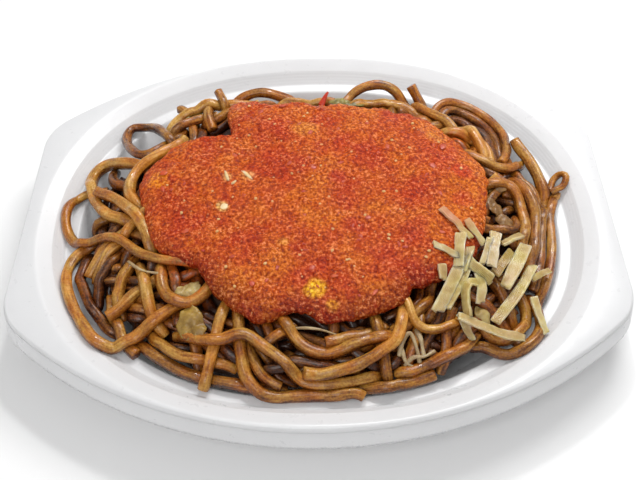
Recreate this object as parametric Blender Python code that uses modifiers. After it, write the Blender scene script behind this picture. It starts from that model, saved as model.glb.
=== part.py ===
"""A plate of yakisoba: thick fried noodles, red pepper sauce and pickled strips.

Everything is in metres, +Z up. The plate's flat base stands on z = 0, centred on the origin,
its long side along X, and the diner sits at -Y.
"""
import math

import bmesh
import bpy
import numpy as np

# Clearance between pieces that touch.
GAP = 0.0003
# Looser clearances, for a piece or a strand laid over facets that differ from its own.
LAID_GAP = 0.0006
STRAND_GAP = 0.0016

# Plate, a thin formed tray: outer edge.
EDGE_HALF_LENGTH = 0.1200
EDGE_HALF_WIDTH = 0.0972
EDGE_HEIGHT = 0.0280
LONG_SIDE_RADIUS = 0.1729
CORNER_RADIUS = 0.0220
PLATE_WALL = 0.0010
# Plate: the well, an oval whose rings differ by a width measured from the ledge's inner edge.
LEDGE_HALF_LENGTH = 0.0996
LEDGE_HALF_WIDTH = 0.0813
OVAL_POWER = 2.22
# Section of the well: width from the ledge's inner edge, height above the table.
WELL_SECTION = (
    (-0.0120, PLATE_WALL),
    (-0.0085, 0.0028),
    (-0.0070, 0.0065),
    (0.0000, 0.0197),
    (0.0044, 0.0201),
    (0.0085, 0.0252),
    (0.0145, 0.0283),
)
LEDGE_HEIGHT = 0.0197
# Plate: the skirt that hangs from the outer edge.
SKIRT_STEP_DROP = 0.0020
SKIRT_STEP_OUT = 0.0008
SKIRT_DROP = 0.0108
SKIRT_FLARE = 0.0024
# Segments of a quarter of the outer edge.
END_SEGMENTS = 3
CORNER_SEGMENTS = 4
LONG_SIDE_SEGMENTS = 7

# Noodle heap.
NOODLE_RADIUS = 0.0021
NOODLE_SIDES_RESOLUTION = 1
NOODLE_SAMPLE = 0.0080
CROWN_RISE = 0.0090
HEAP_FALL = 0.0160
HEAP_POWER = 4
# The body of the heap falls away this much more at the back, under strands that stand free.
BACK_FALL = 0.0090
# The fall comes in over this distance, front to back.
BACK_BLEND = 0.0406
HEAP_INSET = 0.0005
# How far out the heap reaches, as a share of the well, at the front and at the back.
FRONT_REACH = 0.985
BACK_REACH = 0.915
# Unevenness of the reach: depth, waves round the heap, phase.
REACH_WAVES = ((0.010, 5, 0.7), (0.008, 9, 2.1))
HEAP_RINGS = 5
# Rings of the well's section that the heap's foot follows, and those up to the ledge.
HEAP_FOOT_RINGS = 3
WALL_TOP = 4
SHOULDER_DROP = 0.0010
# Rounds in which the shoulder's place and height, which depend on each other, are settled.
SHOULDER_ROUNDS = 3
# The heap's body lies this far under the middle of its topmost strands.
STRAND_RELIEF = 0.0012
# Low lumps on the heap's body, and finer ones that run askew.
LUMP_HEIGHT = 0.0009
LUMP_LENGTH = 0.0160
LUMP_WIDTH = 0.0146
FINE_LUMP_SHARE = 0.6
FINE_LUMP_LENGTH = 0.0090
FINE_LUMP_WIDTH = 0.0103
# Strands further out than this share of the well are lifted clear of the plate.
NEAR_PLATE_SHARE = 0.955
# Places across a strand where its clearance is tried.
CLEARANCE_STEPS = 9
WELD_DISTANCE = 0.00001

# Sauce, a thick pool on the heap.
SAUCE_CENTRE = (-0.0010, 0.0000)
SAUCE_HALF_LENGTH = 0.0670
SAUCE_HALF_WIDTH = 0.0560
SAUCE_POWER = 2.1
SAUCE_THICKNESS = 0.0068
SAUCE_WAVE = 0.0006
SAUCE_WAVE_LENGTH = 0.0300
SAUCE_WAVE_WIDTH = 0.0240
# Lobes of the sauce's edge: direction in degrees, reach in metres, half width in degrees.
SAUCE_LOBES = (
    (172, 0.004, 12),
    (143, -0.003, 9),
    (137, -0.012, 8),
    (123, 0.006, 9),
    (80, -0.004, 32),
    (40, 0.002, 10),
    (10, 0.004, 14),
    (-25, 0.003, 14),
    (-50, -0.003, 9),
    (-108, 0.003, 12),
    (-142, -0.006, 10),
)
# Section of the pool: share of the way out, share of the thickness.
SAUCE_SECTION = (
    (0.220, 1.00),
    (0.450, 1.00),
    (0.680, 0.99),
    (0.850, 0.95),
    (0.950, 0.86),
    (0.998, 0.68),
    (1.008, 0.42),
    (0.990, 0.16),
)
UNDERSIDE_RINGS = (0.30, 0.65, 1.00)

# Strands that stand out of the heap: points (x, y) and the height over the heap, in millimetres.
STRANDS = {
    "ring_loop": ((-61, 37, -6), (-69, 52, 1), (-78, 57, 1), (-85, 49, 0), (-80, 33, 0), (-72, 24, -7)),
    "upper_left_loop": ((-74, 24, -5), (-92, 31, 1), (-97, 21, 0), (-90, 4, 1), (-78, -8, -4)),
    "left_loop": ((-91, 16, -4), (-103, 9, 0), (-103, -5, 0), (-92, -13, 1), (-78, -18, 1), (-64, -29, -1),
                  (-52, -32, -5)),
    "lower_left_loop": ((-92, -14, -2), (-99, -24, 0), (-94, -42, 1), (-83, -58, 1), (-76, -61, 1),
                        (-62, -53, 1), (-50, -47, -5)),
    "left_inner": ((-88, 9, -2), (-78, -3, 1), (-70, -16, 1), (-67, -27, -5)),
    "left_bow": ((-66, 27, -4), (-76, 18, 1), (-77, 6, 0), (-71, -4, -4)),
    "left_hook": ((-61, -34, -4), (-58, -45, 1), (-49, -49, 1), (-42, -48, -5)),
    "front_left_edge": ((-70, -59, -3), (-56, -67, 0), (-38, -74, 0), (-20, -78, -2)),
    "front_left_arc": ((-61, -58, -4), (-54, -65, 1), (-40, -68, -2)),
    "front_turn": ((-30, -54, -5), (-28, -70, 1), (-18, -79, 1), (2, -80, 0), (22, -78, -3)),
    "front_diagonal": ((-44, -60, -4), (-26, -62, 1), (-10, -74, 1), (12, -77, 0), (26, -74, -4)),
    "front_bow": ((-11, -58, -5), (-1, -68, 1), (16, -66, 1), (27, -60, -5)),
    "front_sweep": ((-5, -74, 0), (14, -71, 1), (28, -63, 1), (33, -54, -5)),
    "front_right_edge": ((10, -79, -3), (30, -77, 0), (46, -71, 0), (58, -62, -4)),
    "right_front_turn": ((60, -62, -4), (74, -64, 1), (82, -57, 1), (84, -44, -2)),
    "right_outer": ((98, 14, -2), (97, -4, 0), (92, -24, 0), (85, -42, -3)),
    "right_inner": ((78, 8, -4), (86, 4, 1), (87, -10, 1), (83, -22, -4)),
    "right_peak": ((84, 22, -4), (90, 33, 4), (95, 28, 3), (98, 14, 0)),
    "back_right_outer": ((52, 54, -7), (60, 63, 5), (73, 59, 5), (82, 47, 3), (81, 28, -3)),
    "back_right_inner": ((56, 50, -4), (66, 54, 3), (75, 43, 2), (76, 24, -4)),
    "right_bow": ((68, 22, -4), (77, 18, 1), (85, 24, -3)),
    "back_arch": ((17, 59, -8), (21, 66, 2), (29, 68, 7), (37, 66, 3), (40, 59, -8)),
    "back_left_arch": ((-40, 59, -8), (-36, 65, 0), (-27, 67, 4), (-19, 65, 0), (-14, 59, -8)),
    "back_upright": ((44, 56, -7), (44, 63, 3), (43, 66, 9)),
    "back_spike": ((-46, 54, -7), (-45, 61, 2), (-43, 65, 6)),
}

# Pickled strips: two ends, each (x, y) and the height over the heap, in millimetres.
STRIP_WIDTH = 0.0032
STRIP_DEPTH = 0.0025
STRIPS = (
    ((44, -29, 8.0), (59, -34, 5.2)),
    ((55, -23, 7.5), (54, -37, 5.2)),
    ((55, -35, 5.2), (45, -54, 4.0)),
    ((57, -28, 5.4), (62, -49, 4.6)),
    ((71, -19, 3.8), (64, -36, 4.6)),
    ((80, -18, 3.4), (68, -28, 4.4)),
    ((82, -22, 3.6), (69, -43, 4.8)),
    ((60, -35, 5.0), (71, -40, 4.6)),
    ((84, -32, 3.6), (68, -56, 4.0)),
    ((92, -31, 3.4), (78, -41, 4.2)),
    ((57, -44, 4.8), (56, -59, 3.4)),
    ((50, -55, 3.4), (63, -60, 3.4)),
    ((60, -60, 3.4), (76, -58, 3.2)),
    ((81, -39, 4.4), (83, -55, 5.0)),
    ((50, -11, 8.4), (57, -26, 7.6)),
    ((59, -17, 7.4), (65, -31, 5.0)),
)
PICKLE_BED_CENTRE = (0.066, -0.038)
PICKLE_BED_HALF_LENGTH = 0.016
PICKLE_BED_HALF_WIDTH = 0.014
PICKLE_BED_RISE = 0.0044
PICKLE_BED_SIDES = 14
# Section of the bed: share of the way out, share of the rise.
PICKLE_BED_SECTION = ((1.0, -1.0), (1.0, 0.5), (0.8, 0.9), (0.5, 1.0))

CABBAGE_SIDES = 10
# Section of a piece of cabbage: share of the way out, height over its edge in metres.
CABBAGE_SECTION = ((0.75, -0.0080), (1.00, 0.0000), (0.85, 0.0012), (0.40, 0.0006))
# Raggedness of its edge: depth, waves round the piece.
CABBAGE_WAVES = ((0.12, 3), (0.07, 5))
# Centre (x, y), half length, half width in millimetres, turn in degrees, height over the heap.
CABBAGE_PIECES = {
    "cabbage_leaf_front": (-47, -56, 6.2, 4.2, 60, 2.0),
    "cabbage_leaf_back": (13, 59, 7.5, 3.6, 5, 1.0),
    "cabbage_leaf_right": (76, 8, 4.0, 3.0, 30, 1.6),
}

# Pepper sliver that stands up behind the sauce: its foot and its tip, in millimetres over the heap.
PEPPER_FOOT = (2, 56, 0.5)
PEPPER_TIP = (4, 60, 4.5)
PEPPER_WIDTH = 0.0032
PEPPER_DEPTH = 0.0018
PEPPER_TIP_SHARE = 0.35

# The strands that each piece on top of the heap crosses.
LAID_ON = {
    "pickled_strips": ("right_front_turn", "right_inner", "right_outer", "front_right_edge"),
    "cabbage_leaf_front": ("left_hook", "front_diagonal", "lower_left_loop"),
    "cabbage_leaf_back": ("back_arch",),
    "cabbage_leaf_right": ("right_inner", "right_bow"),
    "pepper_sliver": (),
}

COLOURS = {
    "plate": ((0.83, 0.83, 0.84), 0.35),
    "noodles": ((0.36, 0.16, 0.045), 0.32),
    "sauce": ((0.62, 0.085, 0.018), 0.28),
    "pickled_strips": ((0.74, 0.66, 0.36), 0.25),
    "cabbage": ((0.55, 0.42, 0.14), 0.35),
    "pepper": ((0.58, 0.045, 0.012), 0.30),
}


def clear_scene():
    for old in list(bpy.data.objects):
        bpy.data.objects.remove(old, do_unlink=True)


def new_collection(name):
    collection = bpy.data.collections.new(name)
    bpy.context.scene.collection.children.link(collection)
    return collection


def make_material(name):
    colour, roughness = COLOURS[name]
    material = bpy.data.materials.new(name)
    material.use_nodes = True
    shader = material.node_tree.nodes["Principled BSDF"]
    shader.inputs["Base Color"].default_value = (*colour, 1.0)
    shader.inputs["Roughness"].default_value = roughness
    shader.inputs["Metallic"].default_value = 0.0
    return material


def add_object(name, mesh, material, collection):
    piece = bpy.data.objects.new(name, mesh)
    piece.data.materials.clear()
    piece.data.materials.append(material)
    collection.objects.link(piece)
    return piece


def add_cutter(name, mesh, collection):
    cutter = bpy.data.objects.new(name, mesh)
    cutter.hide_render = True
    cutter.display_type = "WIRE"
    collection.objects.link(cutter)
    return cutter


def boolean(piece, other, operation):
    modifier = piece.modifiers.new(operation.lower(), "BOOLEAN")
    modifier.operation = operation
    modifier.object = other
    modifier.solver = "EXACT"


# ---------------------------------------------------------------- outlines

def outer_edge(out):
    """The plate's outer edge, moved out by a distance: flat ends, round corners, bowed long sides."""
    half_length = EDGE_HALF_LENGTH + out
    corner = CORNER_RADIUS + out
    side = LONG_SIDE_RADIUS + out
    side_centre = EDGE_HALF_WIDTH - LONG_SIDE_RADIUS
    corner_x = half_length - corner
    reach = side - corner
    corner_y = side_centre + math.sqrt(reach ** 2 - corner_x ** 2)
    turn = math.atan2(corner_y - side_centre, corner_x)
    quarter = [(half_length, corner_y * i / END_SEGMENTS) for i in range(END_SEGMENTS)]
    for i in range(CORNER_SEGMENTS):
        angle = turn * i / CORNER_SEGMENTS
        quarter.append((corner_x + corner * math.cos(angle), corner_y + corner * math.sin(angle)))
    for i in range(LONG_SIDE_SEGMENTS):
        angle = turn + (math.pi / 2 - turn) * i / LONG_SIDE_SEGMENTS
        quarter.append((side * math.cos(angle), side_centre + side * math.sin(angle)))
    points = list(quarter)
    points += [(0.0, side_centre + side)]
    points += [(-x, y) for x, y in reversed(quarter)]
    points += [(-x, -y) for x, y in quarter[1:]]
    points += [(0.0, -side_centre - side)]
    points += [(x, -y) for x, y in reversed(quarter[1:])]
    return np.array(points)


def oval_share(x, y, half_length=LEDGE_HALF_LENGTH, half_width=LEDGE_HALF_WIDTH, power=OVAL_POWER):
    """How far out a point is, as a share of the way to an oval's edge."""
    return (np.abs(x / half_length) ** power + np.abs(y / half_width) ** power) ** (1 / power)


def spokes():
    """One direction for each point of the outer edge, squeezed to the well's proportions."""
    edge = outer_edge(0.0)
    squeezed = edge * (LEDGE_HALF_LENGTH / EDGE_HALF_LENGTH, LEDGE_HALF_WIDTH / EDGE_HALF_WIDTH)
    return squeezed / np.linalg.norm(squeezed, axis=1)[:, None]


def well_ring(width):
    """The well's oval, this much wider than the ledge's inner edge."""
    ways = spokes()
    share = oval_share(ways[:, 0], ways[:, 1], LEDGE_HALF_LENGTH + width, LEDGE_HALF_WIDTH + width)
    return ways / share[:, None]


def sauce_outline():
    """The edge of the sauce along each spoke: an oval with lobes and bays."""
    ways = spokes()
    share = oval_share(ways[:, 0], ways[:, 1], SAUCE_HALF_LENGTH, SAUCE_HALF_WIDTH, SAUCE_POWER)
    reach = 1.0 / share
    angle = np.degrees(np.arctan2(ways[:, 1], ways[:, 0]))
    for direction, lobe, half_width in SAUCE_LOBES:
        away = (angle - direction + 180.0) % 360.0 - 180.0
        reach = reach + lobe * np.exp(-(away / half_width) ** 2)
    return ways * reach[:, None] + np.array(SAUCE_CENTRE)


# ---------------------------------------------------------------- heights

def wave(distance, length):
    return np.sin(2 * math.pi * distance / length)


def plate_height(x, y):
    """Height of the plate's upper side round the ledge, at a point over it or over its wall."""
    share = oval_share(x, y)
    width = (share - 1.0) * np.hypot(x, y) / np.maximum(share, 0.1)
    widths, heights = zip(*WELL_SECTION)
    return np.interp(width, widths, heights)


def strand_height(x, y):
    """Height of the middle of a strand that lies on top of the heap."""
    share = np.minimum(oval_share(x, y), 1.0)
    return EDGE_HEIGHT + CROWN_RISE - HEAP_FALL * share ** HEAP_POWER


def heap_height(x, y):
    """Height of the heap's body, with low lumps."""
    lumps = wave(x, LUMP_LENGTH) * wave(y, LUMP_WIDTH)
    askew = wave(x / FINE_LUMP_LENGTH - y / FINE_LUMP_WIDTH, 1.0)
    lumps = lumps + FINE_LUMP_SHARE * askew
    back = 0.5 + 0.5 * np.tanh(y / BACK_BLEND)
    back_fall = BACK_FALL * back * np.minimum(oval_share(x, y), 1.0) ** HEAP_POWER
    return strand_height(x, y) - STRAND_RELIEF + LUMP_HEIGHT * (lumps - 1.0) - back_fall


def heap_reach():
    """How full the well is along each spoke, fuller at the front than at the back."""
    ways = spokes()
    angle = np.arctan2(ways[:, 1], ways[:, 0])
    backward = (0.5 + 0.5 * ways[:, 1]) ** 2
    reach = FRONT_REACH + (BACK_REACH - FRONT_REACH) * backward
    for depth, count, phase in REACH_WAVES:
        reach = reach + depth * np.sin(count * angle + phase)
    return np.minimum(reach, FRONT_REACH)


# ---------------------------------------------------------------- meshes

def loft(name, rings, close_start=True, close_end=True):
    """A skin over rings that have the same number of points, each an array of (x, y, z)."""
    mesh_edit = bmesh.new()
    rows = [[mesh_edit.verts.new(point) for point in ring] for ring in rings]
    for lower, upper in zip(rows, rows[1:]):
        for i in range(len(lower)):
            j = (i + 1) % len(lower)
            mesh_edit.faces.new((lower[i], lower[j], upper[j]))
            mesh_edit.faces.new((lower[i], upper[j], upper[i]))
    for row, ring, closed in ((rows[0], rings[0], close_start), (rows[-1], rings[-1], close_end)):
        if closed:
            middle = mesh_edit.verts.new(np.mean(ring, axis=0))
            for i in range(len(row)):
                mesh_edit.faces.new((row[i], row[(i + 1) % len(row)], middle))
    bmesh.ops.recalc_face_normals(mesh_edit, faces=mesh_edit.faces)
    mesh = bpy.data.meshes.new(name)
    mesh_edit.to_mesh(mesh)
    mesh_edit.free()
    mesh.shade_smooth()
    return mesh


def at_height(ring, height):
    return np.column_stack([ring, np.broadcast_to(height, len(ring))])


def plate_rings():
    """The plate's upper side, from its floor out over the edge and down the skirt."""
    return [at_height(well_ring(width), height) for width, height in WELL_SECTION] + [
        at_height(outer_edge(0.0), EDGE_HEIGHT),
        at_height(outer_edge(SKIRT_STEP_OUT / 2), EDGE_HEIGHT - SKIRT_STEP_DROP),
        at_height(outer_edge(SKIRT_STEP_OUT), EDGE_HEIGHT - SKIRT_STEP_DROP),
        at_height(outer_edge(SKIRT_FLARE), EDGE_HEIGHT - SKIRT_DROP),
    ]


def make_plate(material, collection):
    """A formed sheet: the upper side thickened downwards."""
    mesh = loft("plate", plate_rings(), close_end=False)
    if mesh.polygons[0].normal.z < 0:
        mesh.flip_normals()
    plate = add_object("plate", mesh, material, collection)
    shell = plate.modifiers.new("wall", "SOLIDIFY")
    shell.thickness = PLATE_WALL
    shell.offset = -1.0
    shell.use_even_offset = True


def wall_width(height):
    """Width of the well's wall at a height under the ledge."""
    widths, heights = zip(*WELL_SECTION)
    return np.interp(height, heights[:WALL_TOP], widths[:WALL_TOP])


def heap_rings():
    """The heap's body: up the well's wall and in over the top to the middle of the sauce."""
    reach = heap_reach()
    shoulder = well_ring(0.0) * reach[:, None]
    for _ in range(SHOULDER_ROUNDS):
        shoulder_height = heap_height(shoulder[:, 0], shoulder[:, 1])
        shoulder = well_ring(wall_width(shoulder_height) - HEAP_INSET) * reach[:, None]
    waist_height = np.minimum(LEDGE_HEIGHT, shoulder_height) - SHOULDER_DROP
    waist = well_ring(wall_width(waist_height) - HEAP_INSET) * reach[:, None]
    rings = [at_height(well_ring(width - HEAP_INSET) * reach[:, None], height + GAP)
             for width, height in WELL_SECTION[:HEAP_FOOT_RINGS]]
    rings.append(at_height(waist, waist_height))
    pool = sauce_outline()
    for i in range(HEAP_RINGS, 0, -1):
        ring = pool + (shoulder - pool) * i / HEAP_RINGS
        rings.append(at_height(ring, heap_height(ring[:, 0], ring[:, 1])))
    for share in reversed(UNDERSIDE_RINGS):
        rings.append(heap_ring_under_sauce(share))
    return rings


def heap_ring_under_sauce(share):
    centre = np.array(SAUCE_CENTRE)
    ring = centre + (sauce_outline() - centre) * share
    return at_height(ring, heap_height(ring[:, 0], ring[:, 1]))


def smooth_route(points, spacing):
    """Points at an even spacing along a smooth curve through a strand's own points."""
    knots = np.array(points, dtype=float)
    knots = np.vstack([2 * knots[0] - knots[1], knots, 2 * knots[-1] - knots[-2]])
    route = []
    for before, start, end, after in zip(knots, knots[1:], knots[2:], knots[3:]):
        count = max(2, round(float(np.linalg.norm(end - start)) / spacing))
        for t in np.arange(count) / count:
            route.append(0.5 * (2 * start + (end - before) * t
                                + (2 * before - 5 * start + 4 * end - after) * t ** 2
                                + (3 * start - before - 3 * end + after) * t ** 3))
    route.append(knots[-2])
    return np.array(route)


def clear_of_plate(x, y, height):
    """The height of a strand's point, raised where the strand wouldn't clear the plate under it."""
    clear = height
    way = np.array((x, y)) / math.hypot(x, y)
    for step in np.linspace(-1.0, 1.0, CLEARANCE_STEPS):
        side = way * step * NOODLE_RADIUS
        rise = math.sqrt(1.0 - step ** 2) * NOODLE_RADIUS + STRAND_GAP
        clear = max(clear, float(plate_height(x + side[0], y + side[1])) + rise)
    return clear


def strand_points(route):
    points = []
    for x, y, lift in smooth_route([np.array(point) / 1000.0 for point in route], NOODLE_SAMPLE):
        height = float(strand_height(x, y)) + lift
        if oval_share(x, y) > NEAR_PLATE_SHARE:
            height = clear_of_plate(x, y, height)
        points.append((x, y, height))
    return points


def tube_mesh(name, points, radius):
    """A round strand with closed ends, as one welded mesh."""
    curve = bpy.data.curves.new(name, "CURVE")
    curve.dimensions = "3D"
    curve.bevel_depth = radius
    curve.bevel_resolution = NOODLE_SIDES_RESOLUTION
    curve.use_fill_caps = True
    spline = curve.splines.new("POLY")
    spline.points.add(len(points) - 1)
    for spline_point, (x, y, z) in zip(spline.points, points):
        spline_point.co = (x, y, z, 1.0)
    holder = bpy.data.objects.new(name + "_curve", curve)
    bpy.context.scene.collection.objects.link(holder)
    mesh = finished_mesh(holder)
    bpy.data.objects.remove(holder, do_unlink=True)
    weld(mesh)
    return mesh


def finished_mesh(piece):
    """A copy of a piece's mesh with its modifiers applied."""
    bpy.context.view_layer.update()
    return bpy.data.meshes.new_from_object(piece.evaluated_get(bpy.context.evaluated_depsgraph_get()))


def weld(mesh):
    mesh_edit = bmesh.new()
    mesh_edit.from_mesh(mesh)
    bmesh.ops.remove_doubles(mesh_edit, verts=mesh_edit.verts, dist=WELD_DISTANCE)
    bmesh.ops.recalc_face_normals(mesh_edit, faces=mesh_edit.faces)
    mesh_edit.to_mesh(mesh)
    mesh_edit.free()


def keep_outer_skin(mesh):
    """Drop the skins of sealed hollows, which lie inside the largest skin."""
    mesh_edit = bmesh.new()
    mesh_edit.from_mesh(mesh)
    waiting = dict.fromkeys(mesh_edit.faces)
    skins = []
    while waiting:
        first = waiting.popitem()[0]
        skin = [first]
        for face in skin:
            for edge in face.edges:
                for other in edge.link_faces:
                    if other in waiting:
                        del waiting[other]
                        skin.append(other)
        skins.append(skin)
    skins.sort(key=len)
    inner = [face for skin in skins[:-1] for face in skin]
    bmesh.ops.delete(mesh_edit, geom=inner, context="FACES")
    mesh_edit.to_mesh(mesh)
    mesh_edit.free()


def make_noodles(material, collection, cutters):
    """The heap's body with the strands that stand out of it."""
    body = add_cutter("heap_body", loft("heap_body", heap_rings()), cutters)
    for name, route in STRANDS.items():
        strand = add_cutter("strand_" + name, tube_mesh(name, strand_points(route), NOODLE_RADIUS), cutters)
        boolean(body, strand, "UNION")
    mesh = finished_mesh(body)
    mesh.name = "noodles"
    keep_outer_skin(mesh)
    add_object("noodles", mesh, material, collection)


def sauce_rings():
    """The pool: its low wavy top, its rounded edge, and its underside on the heap."""
    centre = np.array(SAUCE_CENTRE)
    outline = sauce_outline()
    rings = []
    for share, rise in SAUCE_SECTION:
        ring = centre + (outline - centre) * share
        ripple = SAUCE_WAVE * wave(ring[:, 0], SAUCE_WAVE_LENGTH) * wave(ring[:, 1], SAUCE_WAVE_WIDTH)
        base = strand_height(ring[:, 0], ring[:, 1]) + GAP
        rings.append(at_height(ring, base + (SAUCE_THICKNESS + ripple) * rise))
    for share in reversed(UNDERSIDE_RINGS):
        ring = heap_ring_under_sauce(share)
        ring[:, 2] += GAP
        rings.append(ring)
    return rings


def make_sauce(material, collection):
    add_object("sauce", loft("sauce", sauce_rings()), material, collection)


def strip_mesh(name, start, end, width, depth):
    """A straight square-cut strip between two points."""
    along = end - start
    length = float(np.linalg.norm(along))
    heading = math.atan2(along[1], along[0])
    pitch = -math.asin(along[2] / length)
    mesh_edit = bmesh.new()
    bmesh.ops.create_cube(mesh_edit, size=1.0)
    bmesh.ops.scale(mesh_edit, vec=(length, width, depth), verts=mesh_edit.verts)
    turn = rotation_z(heading) @ rotation_y(pitch)
    for vertex in mesh_edit.verts:
        vertex.co = turn @ np.array(vertex.co) + (start + end) / 2
    mesh = bpy.data.meshes.new(name)
    mesh_edit.to_mesh(mesh)
    mesh_edit.free()
    return mesh


def over_heap(point):
    """A point (x, y) and its height over the heap, in millimetres, as a place in metres."""
    x, y, lift = np.array(point) / 1000.0
    return np.array((x, y, strand_height(x, y) + lift))


def rotation_z(angle):
    c, s = math.cos(angle), math.sin(angle)
    return np.array(((c, -s, 0.0), (s, c, 0.0), (0.0, 0.0, 1.0)))


def rotation_y(angle):
    c, s = math.cos(angle), math.sin(angle)
    return np.array(((c, 0.0, s), (0.0, 1.0, 0.0), (-s, 0.0, c)))


def pickle_bed_mesh():
    """A low mound that joins the strips into one heap."""
    turns = np.linspace(0.0, 2 * math.pi, PICKLE_BED_SIDES, endpoint=False)
    round_ring = np.column_stack([np.cos(turns), np.sin(turns)])
    size = np.array((PICKLE_BED_HALF_LENGTH, PICKLE_BED_HALF_WIDTH))
    rings = []
    for share, rise in PICKLE_BED_SECTION:
        ring = np.array(PICKLE_BED_CENTRE) + round_ring * size * share
        rings.append(at_height(ring, strand_height(ring[:, 0], ring[:, 1]) + PICKLE_BED_RISE * rise))
    return loft("pickle_bed", rings)


def make_pickled_strips(material, collection, cutters, clearance):
    """Strips in a loose heap, cut to lie on the noodles and on the sauce."""
    heap = add_object("pickled_strips", pickle_bed_mesh(), material, collection)
    for i, ends in enumerate(STRIPS):
        start, end = [over_heap(end) for end in ends]
        mesh = strip_mesh(f"strip_{i + 1}", start, end, STRIP_WIDTH, STRIP_DEPTH)
        boolean(heap, add_cutter(f"strip_{i + 1}", mesh, cutters), "UNION")
    lay_down(heap, clearance)


def leaf_mesh(name, centre, half_length, half_width, turn, lift):
    """A crumpled leaf piece with a ragged edge, deep enough to reach into the heap."""
    turns = np.linspace(0.0, 2 * math.pi, CABBAGE_SIDES, endpoint=False)
    ragged = 1.0 + sum(depth * np.sin(count * turns + turn) for depth, count in CABBAGE_WAVES)
    flat = np.column_stack([np.cos(turns) * half_length, np.sin(turns) * half_width]) * ragged[:, None]
    flat = flat @ rotation_z(turn)[:2, :2].T
    rings = []
    for share, rise in CABBAGE_SECTION:
        ring = np.array(centre) + flat * share
        rings.append(at_height(ring, strand_height(ring[:, 0], ring[:, 1]) + lift + rise))
    return loft(name, rings)


def make_cabbage(material, collection, clearance):
    for name, (x, y, half_length, half_width, turn, lift) in CABBAGE_PIECES.items():
        mesh = leaf_mesh(name, (x / 1000.0, y / 1000.0), half_length / 1000.0, half_width / 1000.0,
                         math.radians(turn), lift / 1000.0)
        lay_down(add_object(name, mesh, material, collection), clearance)


def make_pepper(material, collection, clearance):
    """A sliver that narrows to its tip."""
    foot = over_heap(PEPPER_FOOT)
    tip = over_heap(PEPPER_TIP)
    mesh = strip_mesh("pepper_sliver", foot, tip, PEPPER_WIDTH, PEPPER_DEPTH)
    middle = (foot + tip) / 2
    along = (tip - foot) / np.linalg.norm(tip - foot)
    for vertex in mesh.vertices:
        corner = np.array(vertex.co)
        on_axis = middle + along * float(np.dot(corner - middle, along))
        if np.dot(corner - middle, along) > 0.0:
            vertex.co = on_axis + (corner - on_axis) * PEPPER_TIP_SHARE
    lay_down(add_object("pepper_sliver", mesh, material, collection), clearance)


def make_clearance(cutters):
    """Cutters for what lies on the heap: its body and the sauce, raised, and each strand, thickened."""
    heap = add_cutter("heap_raised", loft("heap_raised", heap_rings()), cutters)
    heap.location.z = LAID_GAP
    clearance = {"heap": heap}
    for name, rise in (("sauce_raised", LAID_GAP), ("sauce_lowered", -LAID_GAP)):
        pool = add_cutter(name, loft(name, sauce_rings()), cutters)
        pool.location.z = rise
        pool.scale = (1.0 + LAID_GAP / SAUCE_HALF_WIDTH, 1.0 + LAID_GAP / SAUCE_HALF_WIDTH, 1.0)
        clearance[name] = pool
    for name in sorted({name for names in LAID_ON.values() for name in names}):
        mesh = tube_mesh("thick_" + name, strand_points(STRANDS[name]), NOODLE_RADIUS + LAID_GAP)
        clearance[name] = add_cutter("thick_" + name, mesh, cutters)
    return clearance


def lay_down(piece, clearance):
    """Cut a piece's underside to what it lies on."""
    for name in ("heap", "sauce_raised", "sauce_lowered", *LAID_ON[piece.name]):
        boolean(piece, clearance[name], "DIFFERENCE")


def main():
    clear_scene()
    collection = new_collection("yakisoba")
    cutters = new_collection("yakisoba_cutters")
    make_plate(make_material("plate"), collection)
    make_noodles(make_material("noodles"), collection, cutters)
    make_sauce(make_material("sauce"), collection)
    clearance = make_clearance(cutters)
    make_pickled_strips(make_material("pickled_strips"), collection, cutters, clearance)
    make_cabbage(make_material("cabbage"), collection, clearance)
    make_pepper(make_material("pepper"), collection, clearance)


main()
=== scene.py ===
"""Looks of a plate of yakisoba: thick fried noodles, red pepper sauce and pickled strips.

Everything is in metres, +Z up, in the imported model's frame. The plate's base stands on z = 0,
its long side along X, and the diner sits at -Y.
"""

import math

import bmesh
import bpy
import numpy as np
from mathutils import Matrix, Vector


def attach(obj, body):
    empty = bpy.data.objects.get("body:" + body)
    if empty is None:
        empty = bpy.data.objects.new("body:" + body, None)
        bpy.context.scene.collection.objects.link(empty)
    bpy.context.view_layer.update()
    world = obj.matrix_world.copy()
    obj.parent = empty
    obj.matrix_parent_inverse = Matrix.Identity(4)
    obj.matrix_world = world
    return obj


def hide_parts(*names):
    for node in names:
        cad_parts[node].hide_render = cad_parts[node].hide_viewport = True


BODY = "root"
MM = 0.001

# ---------------------------------------------------------------- sizes shared with the CAD model
EDGE_HALF_LENGTH = 0.1200
EDGE_HALF_WIDTH = 0.0972
EDGE_HEIGHT = 0.0280
LONG_SIDE_RADIUS = 0.1729
CORNER_RADIUS = 0.0220
PLATE_WALL = 0.0010
LEDGE_HALF_LENGTH = 0.0996
LEDGE_HALF_WIDTH = 0.0813
OVAL_POWER = 2.22
SKIRT_STEP_DROP = 0.0020
SKIRT_STEP_OUT = 0.0008
SKIRT_DROP = 0.0108
SKIRT_FLARE = 0.0024
NOODLE_RADIUS = 0.0021
CROWN_RISE = 0.0090
HEAP_FALL = 0.0160
HEAP_POWER = 4
SAUCE_CENTRE = (-0.0010, 0.0000)
SAUCE_HALF_LENGTH = 0.0670
SAUCE_HALF_WIDTH = 0.0560
SAUCE_POWER = 2.1
SAUCE_THICKNESS = 0.0068
# Lobes of the sauce's edge: direction in degrees, reach in metres, half width in degrees.
SAUCE_LOBES = (
    (172, 0.004, 12),
    (143, -0.003, 9),
    (137, -0.012, 8),
    (123, 0.006, 9),
    (80, -0.004, 32),
    (40, 0.002, 10),
    (10, 0.004, 14),
    (-25, 0.003, 14),
    (-50, -0.003, 9),
    (-108, 0.003, 12),
    (-142, -0.006, 10),
)
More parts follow.
